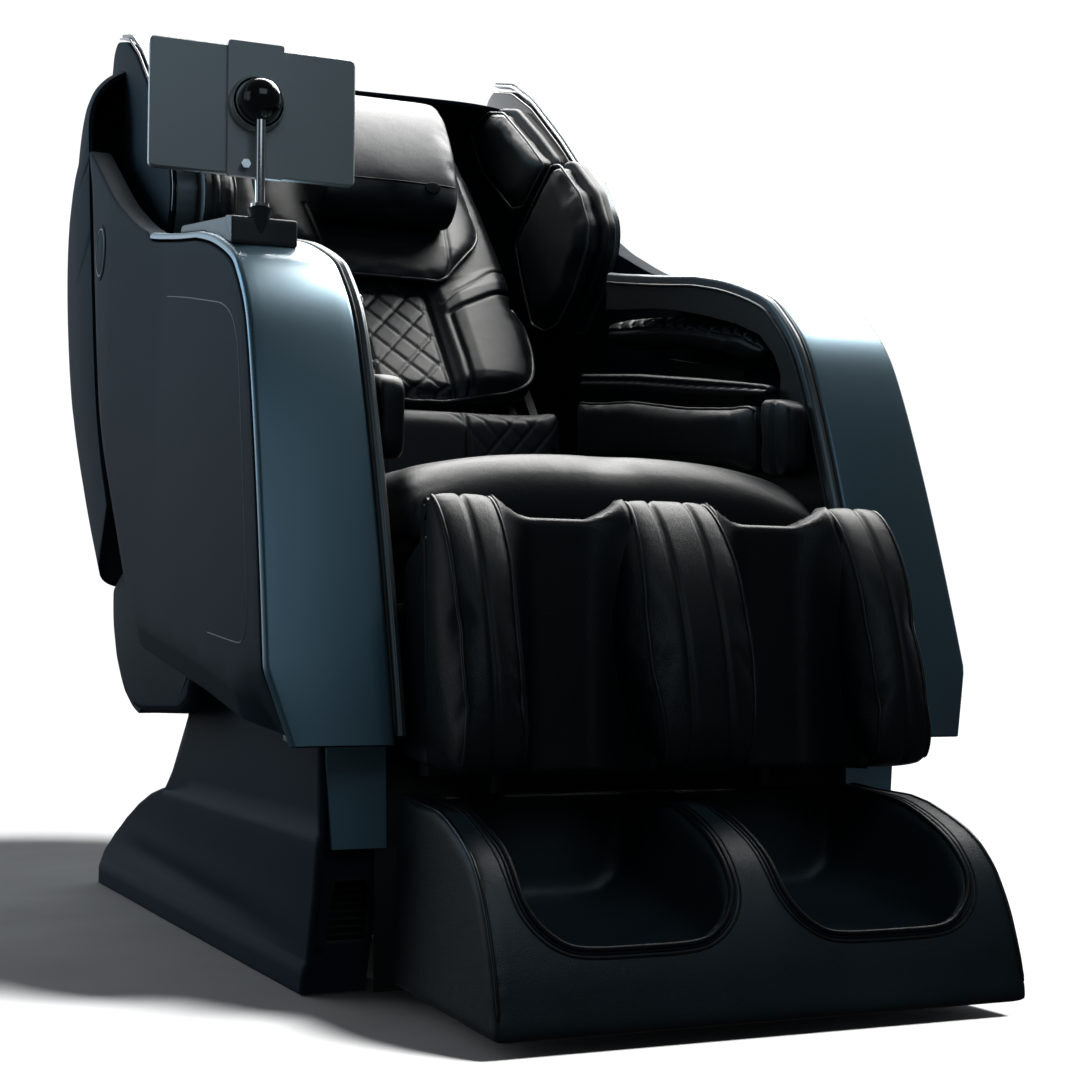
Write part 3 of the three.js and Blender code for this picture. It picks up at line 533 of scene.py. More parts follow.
# The side shell: fine edge along the crest, wide chamfer under the rear and the bottom.
side_loop = np.vstack([arm_crest, arm_rear[1:], [(33, 326), (-319, 279)]])
side_loop = resample(side_loop, 9, closed=True)
side_loop = relax(side_loop, 2, closed=True)
crest_gap = np.array([np.min(np.linalg.norm(arm_crest - p, axis=1)) for p in side_loop])
under_panel = (crest_gap < 14) & (side_loop[:, 0] < 15)
tuck = np.where(under_panel, 11.0, 0.0)
wide = np.clip((crest_gap - 4) / 50, 0, 1)
wide = relax(np.stack([wide, wide], 1), 6, closed=True)[:, 0]
tuck = relax(np.stack([tuck, tuck], 1), 3, closed=True)[:, 0]
sign = 1 if area2(side_loop) > 0 else -1
side_normal = normals2(side_loop) * sign


def side_ring(x, distance):
    """The shell's outline at x, moved in by a distance that varies along it."""
    ring = side_loop + side_normal * (tuck + distance)[:, None]
    return [(x, y, z) for y, z in ring]


outer_x, inner_x = SHELL_X[1], SHELL_X[0]
rings = [side_ring(inner_x, np.full(len(side_loop), 1.0)), side_ring(inner_x + 1.5, np.zeros(len(side_loop)))]
for u in np.linspace(0, 1, 6):
    turn = u * math.pi / 2
    distance = 3.5 * (1 - math.cos(turn)) * (1 - wide) + 28 * u * wide
    ring = np.array(side_ring(outer_x, distance))
    ring[:, 0] -= 3.5 * (1 - math.sin(turn)) * (1 - wide) + 8 * (1 - u) * wide
    rings.append(ring)
verts, faces = loft(rings, caps=False)
faces.append(tuple(range(len(side_loop)))[::-1])
groove = relax(resample(relax(resample(GROOVE, 12, closed=True), 3, closed=True), 8, closed=True), 1, closed=True)
cap_verts, cap_faces = face_with_grooves(rings[-1][:, 1:], outer_x, [])
shell_verts, shell_faces = merged([(verts, faces), (cap_verts, cap_faces)])
low_front = np.clip((300 - shell_verts[:, 2]) / 67, 0, 1.1) * np.clip((-470 - shell_verts[:, 1]) / 70, 0, 1)
shell_verts[:, 0] -= 22 * low_front * np.clip((shell_verts[:, 0] - 330) / 30, 0, 1)
for made in pair("arm_side", lean_in(shell_verts), shell_faces, SHELL, "seat", "shell_plastic", sharp=50):
    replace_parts(made, made.name.replace("arm_side", "side_shell"))


def on_side(points, lift):
    """(y, z) points on the outer face of the arm."""
    return lean_in([(outer_x + lift, y, z) for y, z in points])


# The groove on the arm's outer face is not cut: a dark tube standing about 0.4 mm proud along its line paints the
# groove's shade.
open_groove = [p for p in groove if near_segment(p[None], *GROOVE_FADE)[0] > 120]
start = int(np.argmax(np.linalg.norm(np.diff(np.vstack([open_groove, open_groove[:1]]), axis=0), axis=1))) + 1
open_groove = open_groove[start:] + open_groove[:start]
pair("arm_groove", *tube_mesh(on_side(open_groove, -0.7), 1.1, sides=6), DARK, "seat", "dark_plastic")

ring_points = [(305 + 37 * math.cos(a), 850 + 37 * math.sin(a)) for a in np.linspace(0, 2 * math.pi, 64)[:-1]]
verts, faces = prism(ring_points, "x", outer_x - 4, outer_x + 1.2, 1.2)
pair("arm_badge", verts, faces, SHELL, "seat", "shell_plastic", sharp=30)
rim = [(outer_x + 1.0, 305 + 31 * math.cos(a), 850 + 31 * math.sin(a)) for a in np.linspace(0, 2 * math.pi, 64)[:-1]]
pair("arm_badge_ring", *tube_mesh(rim, 0.9, closed=True), TRIM_PAINT, "seat", "panel_blue")

# The base covers: a neck over a concave skirt with an upright flange along its foot.
def skirt():
    crest = np.array(SKIRT_TOP, float)
    rows = []
    for y0 in np.concatenate([np.linspace(-546, -20, 30), np.linspace(-10, 527, 60)]):
        share = (y0 + 546) / 1073
        top = np.interp(y0, crest[:, 0], crest[:, 1])
        foot = 300 + 20 * share
        back = np.clip((y0 - 500) / 27, 0, 1) ** 2 * 14
        ring = []
        split = min(148, top - 4)
        for z in np.concatenate([[1], np.linspace(3, min(30, split - 6), 5), np.linspace(min(34, split - 5), split, 20),
                                 np.linspace(split + 1.2, top, 7)]):
            u = np.clip((z - 30) / 118, 0, 1)
            flare = (foot - 3 - 298) * (1 - u) ** 2.2 + (3 * np.clip((29 - z) / 3, 0, 1))
            x = 298 + flare - back + (1.6 if z <= 148 else 0) * np.clip((z - 96) / 40, 0, 1)
            x -= 4.5 * math.exp(-((z - 40 - 26 * share) / 15) ** 2) * np.clip(min(share * 3, (0.93 - share) * 5), 0, 1)
            slant = np.interp(z, [1, 141, 217, 290], [56, 0, 2, 6])
            ring.append((x, y0 + slant * (1 - share) ** 6, z))
        x, y, z = ring[-1]
        for k in range(1, 5):
            t = math.pi / 2 * k / 4
            ring.append((x - 6 * math.sin(t) * 0.8 - 0.6 * k, y, z + 0.6 * math.sin(t)))
        for inner in (288, 274, 256, 243):
            ring.append((min(inner, ring[-1][0] - 1), y, z))
        rows.append(ring)
    verts = np.array(rows).reshape(-1, 3)
    return verts, grid_faces(len(rows), len(rows[0]))


for made in pair("base_skirt", *skirt(), SHELL, "base", "shell_plastic"):
    wall = made.modifiers.new("wall", "SOLIDIFY")
    wall.thickness, wall.offset = 4 * MM, 1 if made.name.endswith("left") else -1
    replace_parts(made, made.name.replace("skirt", "cover"))
# A dark tube along the ledge in the skirt at 149 mm height paints the crease's shade.
seam = [(299.7, y, 149.4) for y in np.arange(-538, 150, 12)]
pair("skirt_seam", *tube_mesh(seam, 1.5, sides=6), DARK, "base", "dark_plastic")
post = [prism([(x0, z0), (x1, z0), (x1, z1), (x0, z1)], "y", -541, -534, 1.2) for x0, x1, z0, z1 in
        ((243, 297, 109, 288), (243, 300, 2, 48), (243, 250, 40, 116), (286, 297, 40, 116))]
post_verts, post_faces = merged(post)
post_verts[:, 1] += np.interp(post_verts[:, 2], [1, 141], [52, 0])
pair("base_front_post", post_verts, post_faces, SHELL, "base", "shell_plastic", sharp=30)
# A dark sheet across the base's front, seen between the leg rest and the foot section: painted shade.
piece("base_front_mask", *prism([(-251, 8), (251, 8), (251, 281), (-251, 281)], "y", -539.5, -538), DARK, "base",
      "dark_plastic")

# The back shell: sections fan up from its lower edge and over the dome.
profile = spline(SHELL_REAR, 60)
profile = np.vstack([profile, spline([SHELL_REAR[-1], (495, 1204), (462, 1194)], 8)[1:]])
edge = spline(SHELL_FRONT, 30)
stations = []
low = profile[profile[:, 1] < 1040]
low = resample(low[:np.argmax(low[:, 1]) + 1], 22)
top = resample(profile[np.argmax(profile[:, 1] >= 1040):], 14)
for k, p in enumerate(low):
    share = k / (len(low) - 1)
    stations.append((edge[int(round(share * (len(edge) - 1)))], p, 11.0 - 7.0 * share ** 6))
for k, p in enumerate(top, 1):
    share = k / len(top)
    stations.append((edge[-1] + (2 * share, 6 * share), p, 4.0 - 1.1 * share))
even = np.linspace(-1, 1, 97)
turns = math.pi / 2 * (1 + np.sign(even) * np.abs(even) ** 0.9)


def shell_section(front, rear, power, half):
    ring = []
    for t in turns:
        c, s = math.cos(t), math.sin(t)
        x = half * math.copysign(abs(c) ** (2 / power), c)
        reach = abs(s) ** (2 / power)
        ring.append((x, front[0] + (rear[0] - front[0]) * reach, front[1] + (rear[1] - front[1]) * reach))
    return ring


rows = [shell_section(f, p, n, 364) for f, p, n in stations]
verts = np.array(rows).reshape(-1, 3)
faces = grid_faces(len(rows), len(turns))
verts = np.array(verts)
verts[:, 2] -= 31 * np.clip((verts[:, 2] - 1110) / 80, 0, 1) * (1 - np.clip(np.abs(verts[:, 0]) / 335, 0, 1) ** 2)
back_cover = piece("back_cover", verts, faces, SHELL, "backrest", "shell_plastic")
wall = back_cover.modifiers.new("wall", "SOLIDIFY")
wall.thickness, wall.offset = 6 * MM, -1
edge_round = back_cover.modifiers.new("edge", "BEVEL")
edge_round.width, edge_round.segments, edge_round.angle_limit = 1.2 * MM, 2, math.radians(40)
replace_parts(back_cover, "back_shell")

# The belly: a rounded hood open to the front, with a cheek on each side that runs forward under the arm.
hood_side = [(311, 409), (313, 384), (307, 352), (280, 310), (232, 273), (170, 252), (118, 243), (86, 300), (150, 400)]
hood_verts, hood_faces = prism(relax(resample(hood_side, 12, closed=True), 1, closed=True), "x", -340, 340)
hood_verts = np.array(hood_verts, float)
kept_faces = []
for face in hood_faces:
    x, y, z = hood_verts[list(face)].mean(axis=0)
    opening = min(near_segment(np.array([[y, z]]), a, b)[0] for a, b in zip(hood_side[6:], hood_side[7:] + hood_side[:1]))
    if len(face) == 4 and opening > 5:
        kept_faces.append(face)
belly_hood = piece("belly_hood", hood_verts, kept_faces, SHELL, "seat", "shell_plastic", sharp=50)
hood_wall = belly_hood.modifiers.new("wall", "SOLIDIFY")
hood_wall.thickness, hood_wall.offset = 4 * MM, -1
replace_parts(belly_hood, "belly_cover")
cheek_side = hood_side[:6] + [(100, 246), (-120, 250), (-168, 264), (-188, 300), (40, 372), (150, 420), (250, 428)]
cheek_side = relax(resample(cheek_side, 10, closed=True), 1, closed=True)
pair("belly_cheek", *prism(cheek_side, "x", 312, 344, 14), SHELL, "seat", "shell_plastic", sharp=20)


# ------------------------------------------------------------------ soft pieces
def near_line(points, line):
    """Distance in mm from points to a 3-D polyline."""
    best = np.full(len(points), 1e9)
    for a, b in zip(line[:-1], line[1:]):
        d = b - a
        along = np.clip(((points - a) @ d) / (d @ d + 1e-9), 0, 1)
        best = np.minimum(best, np.linalg.norm(points - (a + along[:, None] * d), axis=1))
    return best


def positions(mesh):
    co = np.empty(len(mesh.vertices) * 3)
    mesh.vertices.foreach_get("co", co)
    return co.reshape(-1, 3) / MM


def set_positions(mesh, points):
    mesh.vertices.foreach_set("co", (points * MM).ravel())
    mesh.update()


def vertex_normals(mesh):
    nor = np.empty(len(mesh.vertices) * 3)
    mesh.vertices.foreach_get("normal", nor)
    return nor.reshape(-1, 3)


def evened(mesh, points, rounds, share=0.5):
    """Laplacian smoothing."""
    edges = np.empty(len(mesh.edges) * 2, int)
    mesh.edges.foreach_get("vertices", edges)
    a, b = edges.reshape(-1, 2).T
    count = np.bincount(np.concatenate([a, b]), minlength=len(points))[:, None]
    for _ in range(rounds):
        total = np.zeros_like(points)
        np.add.at(total, a, points[b])
        np.add.at(total, b, points[a])
        points = points * (1 - share) + total / count * share
    return points


def applied(obj):
    """Bakes the modifiers into the mesh."""
    graph = bpy.context.evaluated_depsgraph_get()
    mesh = bpy.data.meshes.new_from_object(obj.evaluated_get(graph))
    obj.modifiers.clear()
    old = obj.data
    obj.data = mesh
    bpy.data.meshes.remove(old)
    mesh.polygons.foreach_set("use_smooth", [True] * len(mesh.polygons))
    return mesh


WAITING = []


def cushion(name, shape, body, nodes, voxel=6, draw_in=3.0, rounds=6, cap=8.0, fill=0.7, paint=None,
            channels=(), twin=False, pressure=4.0, shape_after=None, finer=True):
    """A padded piece: remeshed and drawn in, then blown up by the shared cloth pass, then sewn."""
    obj = piece(name, *shape, paint or LEATHER, body, "leather")
    grid = obj.modifiers.new("grid", "REMESH")
    grid.mode, grid.voxel_size = "VOXEL", voxel * MM
    mesh = applied(obj)
    start = evened(mesh, positions(mesh), rounds)
    set_positions(mesh, start)
    start = start - vertex_normals(mesh) * draw_in
    set_positions(mesh, start)
    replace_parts(obj, *nodes)
    WAITING.append(dict(obj=obj, start=start, cap=cap, fill=fill, channels=channels, twin=twin, body=body,
                        after=shape_after, finer=finer, draw_in=draw_in))
    air = obj.modifiers.new("air", "CLOTH")
    air.settings.use_pressure = True
    air.settings.uniform_pressure_force = pressure
    air.settings.effector_weights.gravity = 0
    air.settings.quality = 4
    air.point_cache.frame_end = SETTLE_FRAMES
    return obj


def settle():
    """One cloth pass for every waiting cushion, then capping, subdivision and sewing."""
    bpy.context.scene.frame_start, bpy.context.scene.frame_end = 1, SETTLE_FRAMES
    for number in range(1, SETTLE_FRAMES + 1):
        bpy.context.scene.frame_set(number)
    blown = {}
    graph = bpy.context.evaluated_depsgraph_get()
    for item in WAITING:
        seen_mesh = item["obj"].evaluated_get(graph).data
        blown[item["obj"].name] = positions(seen_mesh)
    for item in WAITING:
        obj, start, cap = item["obj"], item["start"], item["cap"]
        obj.modifiers.clear()
        mesh = obj.data
        set_positions(mesh, start)
        move = blown[obj.name] - start
        reach = np.linalg.norm(move, axis=1)[:, None]
        end = start + move * np.minimum(1, cap / np.maximum(reach, 1e-6))
        end = evened(mesh, end, 2)
        set_positions(mesh, end)
        if item["finer"]:
            obj.modifiers.new("finer", "SUBSURF").levels = 1
            mesh = applied(obj)
        points = positions(mesh)
        if item["after"]:
            points = item["after"](points)
            set_positions(mesh, points)
        normals = vertex_normals(mesh)
        skin = surface(obj) if item["channels"] else None
        for line, width, depth in item["channels"]:
            distance = near_line(points, on_skin(resample(line, 5), skin, 0))
            points = points - normals * (depth * np.exp(-(distance / width) ** 2))[:, None]
        set_positions(mesh, points)
        if item["twin"]:
            copy = obj.copy()
            copy.data = obj.data.copy()
            copy.name = obj.name.replace("_right", "_left")
            bpy.context.scene.collection.objects.link(copy)
            set_positions(copy.data, mirror(points))
            copy.data.flip_normals()
            for key in list(copy.keys()):
                if key.startswith("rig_"):
                    del copy[key]
            copy.parent = None
            copy.matrix_world = Matrix.Identity(4)
            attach(copy, item["body"])
            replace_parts(copy, *[n.replace("_right", "_left") for n in obj["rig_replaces"]])
    WAITING.clear()


def surface(obj):
    mesh = obj.data
    verts = [v.co.copy() for v in mesh.vertices]
    return BVHTree.FromPolygons(verts, [tuple(p.vertices) for p in mesh.polygons])


def on_skin(line, skin, lift):
    """A polyline put onto the nearest surface, lifted off it by a distance in mm."""
    out = []
    for p in line:
        at, normal, _, _ = skin.find_nearest(Vector([c * MM for c in p]))
        out.append(np.array(at) / MM + np.array(normal) * lift)
    return np.array(out)


def laid_on(line, obj, lift):
    return on_skin(line, surface(obj), lift)


def welt(name, line, obj, radius=1.7, lift=0.8, closed=False, paint=None, body=None, twin=False, step=5, rounds=2,
         sides=8):
    """Piping sewn along a line on a piece."""
    path = laid_on(resample(line, step, closed=closed), obj, lift)
    path = relax(path, rounds, closed=closed)
    shape = tube_mesh(path, radius, closed=closed, sides=sides)
    if twin:
        return pair(name, *shape, paint or PIPING, body, "leather")
    return piece(name, *shape, paint or PIPING, body, "leather")


def back_point(x, s, t):
    return (x, BACK_FOOT[0] + s * math.sin(LEAN) + t * math.cos(LEAN),
            BACK_FOOT[1] + s * math.cos(LEAN) - t * math.sin(LEAN))


def to_back(verts):
    return np.array([back_point(*v) for v in verts])


def from_back(points):
    y, z = points[:, 1] - BACK_FOOT[0], points[:, 2] - BACK_FOOT[1]
    s = y * math.sin(LEAN) + z * math.cos(LEAN)
    t = y * math.cos(LEAN) - z * math.sin(LEAN)
    return points[:, 0], s, t


def bump_curve(value, low, high, soft):
    """1 between low and high, falling to 0 over soft on both sides."""
    return np.clip((value - low) / soft + 0.5, 0, 1) * np.clip((high - value) / soft + 0.5, 0, 1)


# Seat: crowned, falling away to the sides and over the front edge.
seat_side = relax(resample([(-554, 404), (-556, 462), (-540, 486), (-510, 497), (-300, 500), (16, 494), (20, 404)],
                           10, closed=True), 2, closed=True)


def seat_shape(points):
    crown = 1 - (np.abs(points[:, 0]) / 234) ** 2.6
    high = np.clip((points[:, 2] - 420) / 60, 0, 1)
    out = points.copy()
    out[:, 2] += high * (crown * 10 - (1 - crown) * 16)
    corner = np.clip((-420 - points[:, 1]) / 130, 0, 1) * np.clip((np.abs(points[:, 0]) - 120) / 110, 0, 1)
    out[:, 2] -= high * corner ** 1.5 * 10
    return out


seat_pad = cushion("seat_pad", prism(seat_side, "x", -232, 232, 14), "seat", ["seat_cushion"], voxel=8, cap=9,
                   draw_in=4, rounds=8, shape_after=seat_shape, pressure=3)

# Lower back pad, between the seat and the back pad.
low_side = [(36, 512), (50, 636), (80, 640), (84, 512)]
quilt_lines = []
for k in range(-4, 5):
    for slope in (-1, 1):
        quilt_lines.append([(115 + k * 30 + slope * w * 0.9, 40 + (w + 60) * 0.1, 576 + w) for w in (-62, 0, 62)])
low_lines = [([(sx * x, y, z) for x, y, z in line], 1.6, 1.4) for line in quilt_lines for sx in (1, -1)
             if all(60 <= p[0] <= 176 for p in line[1:2])]


def only_outer(points):
    return points


low_pad = cushion("lower_back", prism(relax(resample(low_side, 8, closed=True), 1, closed=True), "x", -198, 198, 10),
                  "backrest", ["lower_back_pad"], voxel=5, cap=6, draw_in=3,
                  channels=[([(sx * 56, 30, 505), (sx * 56, 52, 650)], 2.6, 4.0) for sx in (1, -1)] + low_lines)

# Back pad: quilted centre between two raised side panels, a roll along its lower edge.
half_face = [(0, -22), (70, -20), (126, -14), (166, 4), (186, 34), (200, 78), (205, 122), (203, 148), (187, 176),
             (200, 208), (205, 240), (204, 330), (197, 450), (184, 560), (150, 592), (0, 597)]
face = half_face + [(-x, s) for x, s in half_face[::-1][1:-1]]
face = relax(resample(face, 9, closed=True), 2, closed=True)
pad_verts, pad_faces = prism(face, "y", 0, 46, 15)
pad_verts = to_back([(x, s, t) for x, t, s in pad_verts])


def back_shape(points):
    x, s, t = from_back(points)
    ax = np.abs(x)
    front = np.clip((24 - t) / 22, 0, 1)
    lower = bump_curve(s, -60, 236, 70)
    side = bump_curve(ax, 78, 176, 34) * bump_curve(s, 8, 190 + (ax - 70) * 0.5, 40)
    centre = 1 - np.clip((ax - 50) / 22, 0, 1)
    push = front * (side * 9 - centre * 9 * lower - bump_curve(s, -60, 4, 26) * 7)
    turned = t - push
    edge = np.clip((ax - 165) / 40, 0, 1) ** 2 * 22
    turned = turned + edge * front
    return to_back(np.stack([x, s, turned], axis=1))


quilt_lines = []
for k in range(-12, 24):
    for slope in (-1, 1):
        line = [(slope * (w - k * 52) * 0.78, w, -2) for w in np.arange(-22, 215, 6)]
        line = [p for p in line if abs(p[0]) <= 47]
        if len(line) > 1:
            quilt_lines.append(line)
back_channels = [([back_point(*p) for p in (line[0], line[-1])], 2.0, 2.4) for line in quilt_lines]
for sx in (1, -1):
    seam = [(sx * x, s, t) for x, s, t in ((50, -24, 4), (50, 100, 6), (49, 230, 0))]
    back_channels.append(([back_point(*p) for p in seam], 3.0, 4.5))
    seam = [(sx * x, s, t) for x, s, t in ((74, -22, -6), (76, 60, -8), (75, 146, -4), (110, 166, -8), (160, 196, -4),
                                          (206, 222, 12))]
    back_channels.append(([back_point(*p) for p in seam], 3.2, 5.0))
    seam = [(sx * x, s, t) for x, s, t in ((74, 168, 0), (130, 214, 0), (206, 282, 14))]
    back_channels.append(([back_point(*p) for p in seam], 2.6, 3.0))
back_cushion = cushion("back_cushion", (pad_verts, pad_faces), "backrest", ["back_pad"], voxel=6, cap=9, draw_in=4,
                       rounds=5, shape_after=back_shape, channels=back_channels, fill=0.75)

# Head pillow: a roll with a flap hanging under it.
pillow_side = relax(resample([(176, 922), (178, 962), (196, 1012), (230, 1066), (272, 1100), (330, 1112), (392, 1074),
                              (312, 962), (262, 905), (215, 892)], 8, closed=True), 2, closed=True)
pillow = cushion("head_roll", prism(pillow_side, "x", -102, 102, 16), "backrest", ["head_pillow"], voxel=6, cap=10,
                 draw_in=5, rounds=6, fill=0.85)
flap_face = [(-166, 500), (-166, 316), (-152, 288), (-80, 196), (80, 196), (152, 288), (166, 316), (166, 500)]
flap_face = relax(resample(flap_face, 7, closed=True), 2, closed=True)
flap_verts, flap_faces = prism(flap_face, "y", -14, 0, 5)
flap_verts = to_back([(x, s, t - 3) for x, t, s in flap_verts])


def flap_shape(points):
    x, s, t = from_back(points)
    front = np.clip((-3 - t) / 8, 0, 1)
    belly = (1 - (np.abs(x) / 168) ** 2) * np.clip((s - 200) / 60, 0, 1)
    return to_back(np.stack([x, s, t - front * belly * 12 + np.clip((np.abs(x) - 100) / 66, 0, 1) ** 2 * 14], axis=1))


flap = cushion("head_flap", (flap_verts, flap_faces), "backrest", [], voxel=5, cap=5, draw_in=1.5, rounds=3,
               shape_after=flap_shape, fill=0.5,
               channels=[([back_point(sx * 84, 190, -16), back_point(sx * 100, 330, -24)], 2.4, 2.6) for sx in (1, -1)])

# Arm upholstery.
forearm_side = [(66, 760), (-82, 741), (-192, 719), (-300, 692), (-356, 668), (-376, 652), (-360, 642), (-318, 650),
                (-230, 680), (-120, 702), (66, 726)]
forearm_side = relax(resample(forearm_side, 7, closed=True), 2, closed=True)
forearm_quilt = []
for k in range(15):
    y = -340 + k * 30
    z = np.interp(y, [-376, -300, -192, -82, 66], [655, 692, 719, 741, 760])
    for step_y in (26, -26):
        far = np.interp(y + step_y, [-376, -300, -192, -82, 66], [655, 692, 719, 741, 760])
        if -360 < y + step_y < 60:
            forearm_quilt.append(([(252, y, z), (292, y + step_y, far), (330, y, z)], 2.2, 2.0))
forearm_seams = [[(x, y, z) for y, z in ((68, 748), (-82, 730), (-192, 708), (-300, 680), (-352, 658))]
                 for x in (253, 333)]
forearm = cushion("forearm_cushion_right", prism(forearm_side, "x", 254, 331, 12), "seat", ["forearm_pad_right"],
                  voxel=5, cap=6, draw_in=3, rounds=4, twin=True,
                  channels=forearm_quilt + [(line, 2.2, 2.2) for line in forearm_seams])

airbag_side = [(60, 690), (-112, 665), (-271, 637), (-436, 606), (-448, 598), (-436, 590), (-271, 614), (-112, 641),
               (60, 666)]
airbag = cushion("arm_aircell_right", prism(relax(resample(airbag_side, 7, closed=True), 1, closed=True), "x", 214, 237, 7),
                 "seat", ["arm_airbag_right"], voxel=4, cap=4, draw_in=2, rounds=3, twin=True, finer=False,
                 channels=[([(214, 60, 680), (214, -112, 655), (214, -271, 627), (214, -450, 599)], 2.6, 5)])

hip_side = [(58, 654), (-112, 636), (-259, 609), (-416, 588), (-428, 580), (-430, 514), (-420, 505), (-284, 524),
            (56, 560)]
strap_side = [(-438, 590), (-488, 582), (-502, 572), (-500, 506), (-488, 496), (-440, 502), (-434, 512), (-434, 580)]
hip = cushion("hip_cushion_right", prism(relax(resample(hip_side, 7, closed=True), 2, closed=True), "x", 208, 237, 9),
              "seat", ["hip_pad_right"], voxel=5, cap=5, draw_in=2, rounds=3, twin=True)
strap = cushion("hip_strap_right", prism(relax(resample(strap_side, 6, closed=True), 2, closed=True), "x", 206, 237, 7),
                "seat", [], voxel=4, cap=4, draw_in=2, rounds=3, twin=True, finer=False,
                channels=[([(206, -468, 600), (206, -468, 490)], 3.0, 6)])

# Wings: a dark core, grey outer cover, glossy rim, and two pads towards the head.
wing_loop = [(556, 1206), (527, 1216), (449, 1192), (369, 1145), (262, 1060), (172, 979), (128, 920), (122, 898),
             (128, 872), (142, 850), (230, 778), (250, 776), (300, 790), (420, 900), (560, 1080), (585, 1150)]
wing_line = relax(resample(wing_loop, 8, closed=True), 2, closed=True)
core = prism(inward(wing_line, 5), "x", 277, 306, 4)
for made in pair("wing_core", *core, GLOSS, "backrest", "gloss_black", sharp=40):
    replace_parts(made, made.name.replace("core", "shell"))
pair("wing_cover", *prism(inward(wing_line, 3), "x", 303, 311, 3.5), SHELL, "backrest", "shell_plastic", sharp=40)
rim_line = relax(resample([p for p in wing_loop[1:11]], 7), 3)
rim = panel_loft(rim_line, rounded_section(281, 304, 8, 3, 1.0))
pair("wing_rim", *rim, TRIM_PAINT, "backrest", "gloss_black", sharp=50)
front_line = rim_line - normals2(rim_line, False) * 3
pair("wing_bright_line", *tube_mesh([(278.5, y, z) for y, z in front_line], 2.0), CHROME, "backrest", "chrome")
pair("wing_outer_line", *tube_mesh([(307.5, y, z) for y, z in rim_line - normals2(rim_line, False) * 1.2], 1.8),
     GLOSS, "backrest", "gloss_black")

upper_loop = [(541, 1148), (452, 1155), (386, 1136), (300, 1074), (232, 1020), (230, 1008), (311, 967), (356, 975),
              (480, 1062)]
lower_loop = [(203, 1008), (172, 1002), (103, 945), (73, 894), (76, 864), (125, 808), (182, 772), (232, 772),
              (277, 790), (310, 850), (342, 923), (309, 948)]
for label, loop, thick in (("upper", upper_loop, 236), ("lower", lower_loop, 235)):
    line = relax(resample(loop, 6, closed=True), 2, closed=True)
    made = cushion(f"wing_{label}_cushion_right", prism(line, "x", thick, 268, 11), "backrest",
                   [f"wing_{label}_pad_right"], voxel=5, cap=6, draw_in=3, rounds=4, twin=True)
    edge_line = inward(line, 4 if label == "upper" else 3)
    pair(f"wing_{label}_welt", *tube_mesh([(thick + 5, y, z) for y, z in edge_line], 1.9, closed=True), PIPING_LIGHT,
         "backrest", "leather")
    second = prism(inward(line, -5), "x", 259, 270, 5)
    pair(f"wing_{label}_roll", *second, LEATHER, "backrest", "leather")
    pair(f"wing_{label}_gap", *prism(inward(line, -2), "x", 268, 279, 2), DARK, "backrest", "dark_plastic")

# Leg rest: outer bolsters, centre bolster and two hollowed calf channels.
leg_front = spline([(-712, 208), (-723, 232), (-722, 260), (-715, 300), (-702, 345), (-688, 390), (-663, 432),
                    (-640, 455)], 40)
leg_loop = np.vstack([leg_front, [(-624, 462), (-614, 458), (-614, 210), (-640, 206)]])
leg_loop = relax(resample(leg_loop, 7, closed=True), 2, closed=True)
bolster_seams = []
for x in (203,):
    bolster_seams.append(([(x, y - 1, z) for y, z in leg_front[::4]] + [(x, -612, 466)], 2.4, 2.8))
bolster = cushion("calf_bolster_cushion_right", prism(leg_loop, "x", 165, 237, 16), "leg_rest",
                  ["calf_bolster_right"], voxel=5, cap=7, draw_in=3, rounds=4, twin=True, fill=0.85,
                  channels=bolster_seams)


def waist(points):
    """The centre bolster is widest at mid height."""
    out = points.copy()
    out[:, 0] *= 1 - 0.22 * np.clip((out[:, 2] - 330) / 130, 0, 1) ** 1.5 - 0.2 * np.clip((310 - out[:, 2]) / 100, 0, 1)
    return out


middle = cushion("middle_bolster", prism(leg_loop, "x", -60, 60, 16), "leg_rest", ["centre_bolster"], voxel=5, cap=7,
                 draw_in=3, rounds=4, fill=0.85, shape_after=waist,
                 channels=[([(sx * 19, y - 1, z) for y, z in leg_front[::4]] + [(sx * 15, -612, 466)], 2.4, 2.8)
                           for sx in (1, -1)])


def channel_sheet():
    """Upholstery of the calf channels: a height field between the bolsters, closed at the back."""
    xs = np.linspace(44, 172, 33)
    zs = np.linspace(208, 462, 52)
    rows = []
    for z in zs:
        row = []
        for x in xs:
            u = (x - 108) / 64
            wall = np.clip((abs(u) - 0.35) / 0.65, 0, 1) ** 2.2
            front = np.interp(z, leg_front[:, 1], leg_front[:, 0])
            deep = -642 + 10 * (z - 208) / 254
            lip = 428 + 20 * wall
            over = np.clip((z - lip) / 30, 0, 1)
            y = deep + (front + 8 - deep) * wall * 0.9
            y = y + over ** 2 * (-600 - y)
            row.append((x, y, min(z, lip + 7)))
        rows.append(row)
    front_rows = np.array(rows)
    back_rows = front_rows.copy()
    back_rows[:, :, 1] = np.maximum(front_rows[:, :, 1] + 6, -612)
    n, m = len(zs), len(xs)
    verts = np.vstack([front_rows.reshape(-1, 3), back_rows.reshape(-1, 3)])
    faces = grid_faces(n, m) + [tuple(i + n * m for i in f[::-1]) for f in grid_faces(n, m)]
    ring = ([(0, j) for j in range(m)] + [(i, m - 1) for i in range(1, n)] + [(n - 1, j) for j in range(m - 2, -1, -1)]
            + [(i, 0) for i in range(n - 2, 0, -1)])
    index = [i * m + j for i, j in ring]
    faces += [(a, b, b + n * m, a + n * m) for a, b in zip(index, index[1:] + index[:1])]
    return verts, faces


channel = pair("calf_channel", *channel_sheet(), LEATHER, "leg_rest", "leather")
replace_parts(channel[0], "calf_pad")

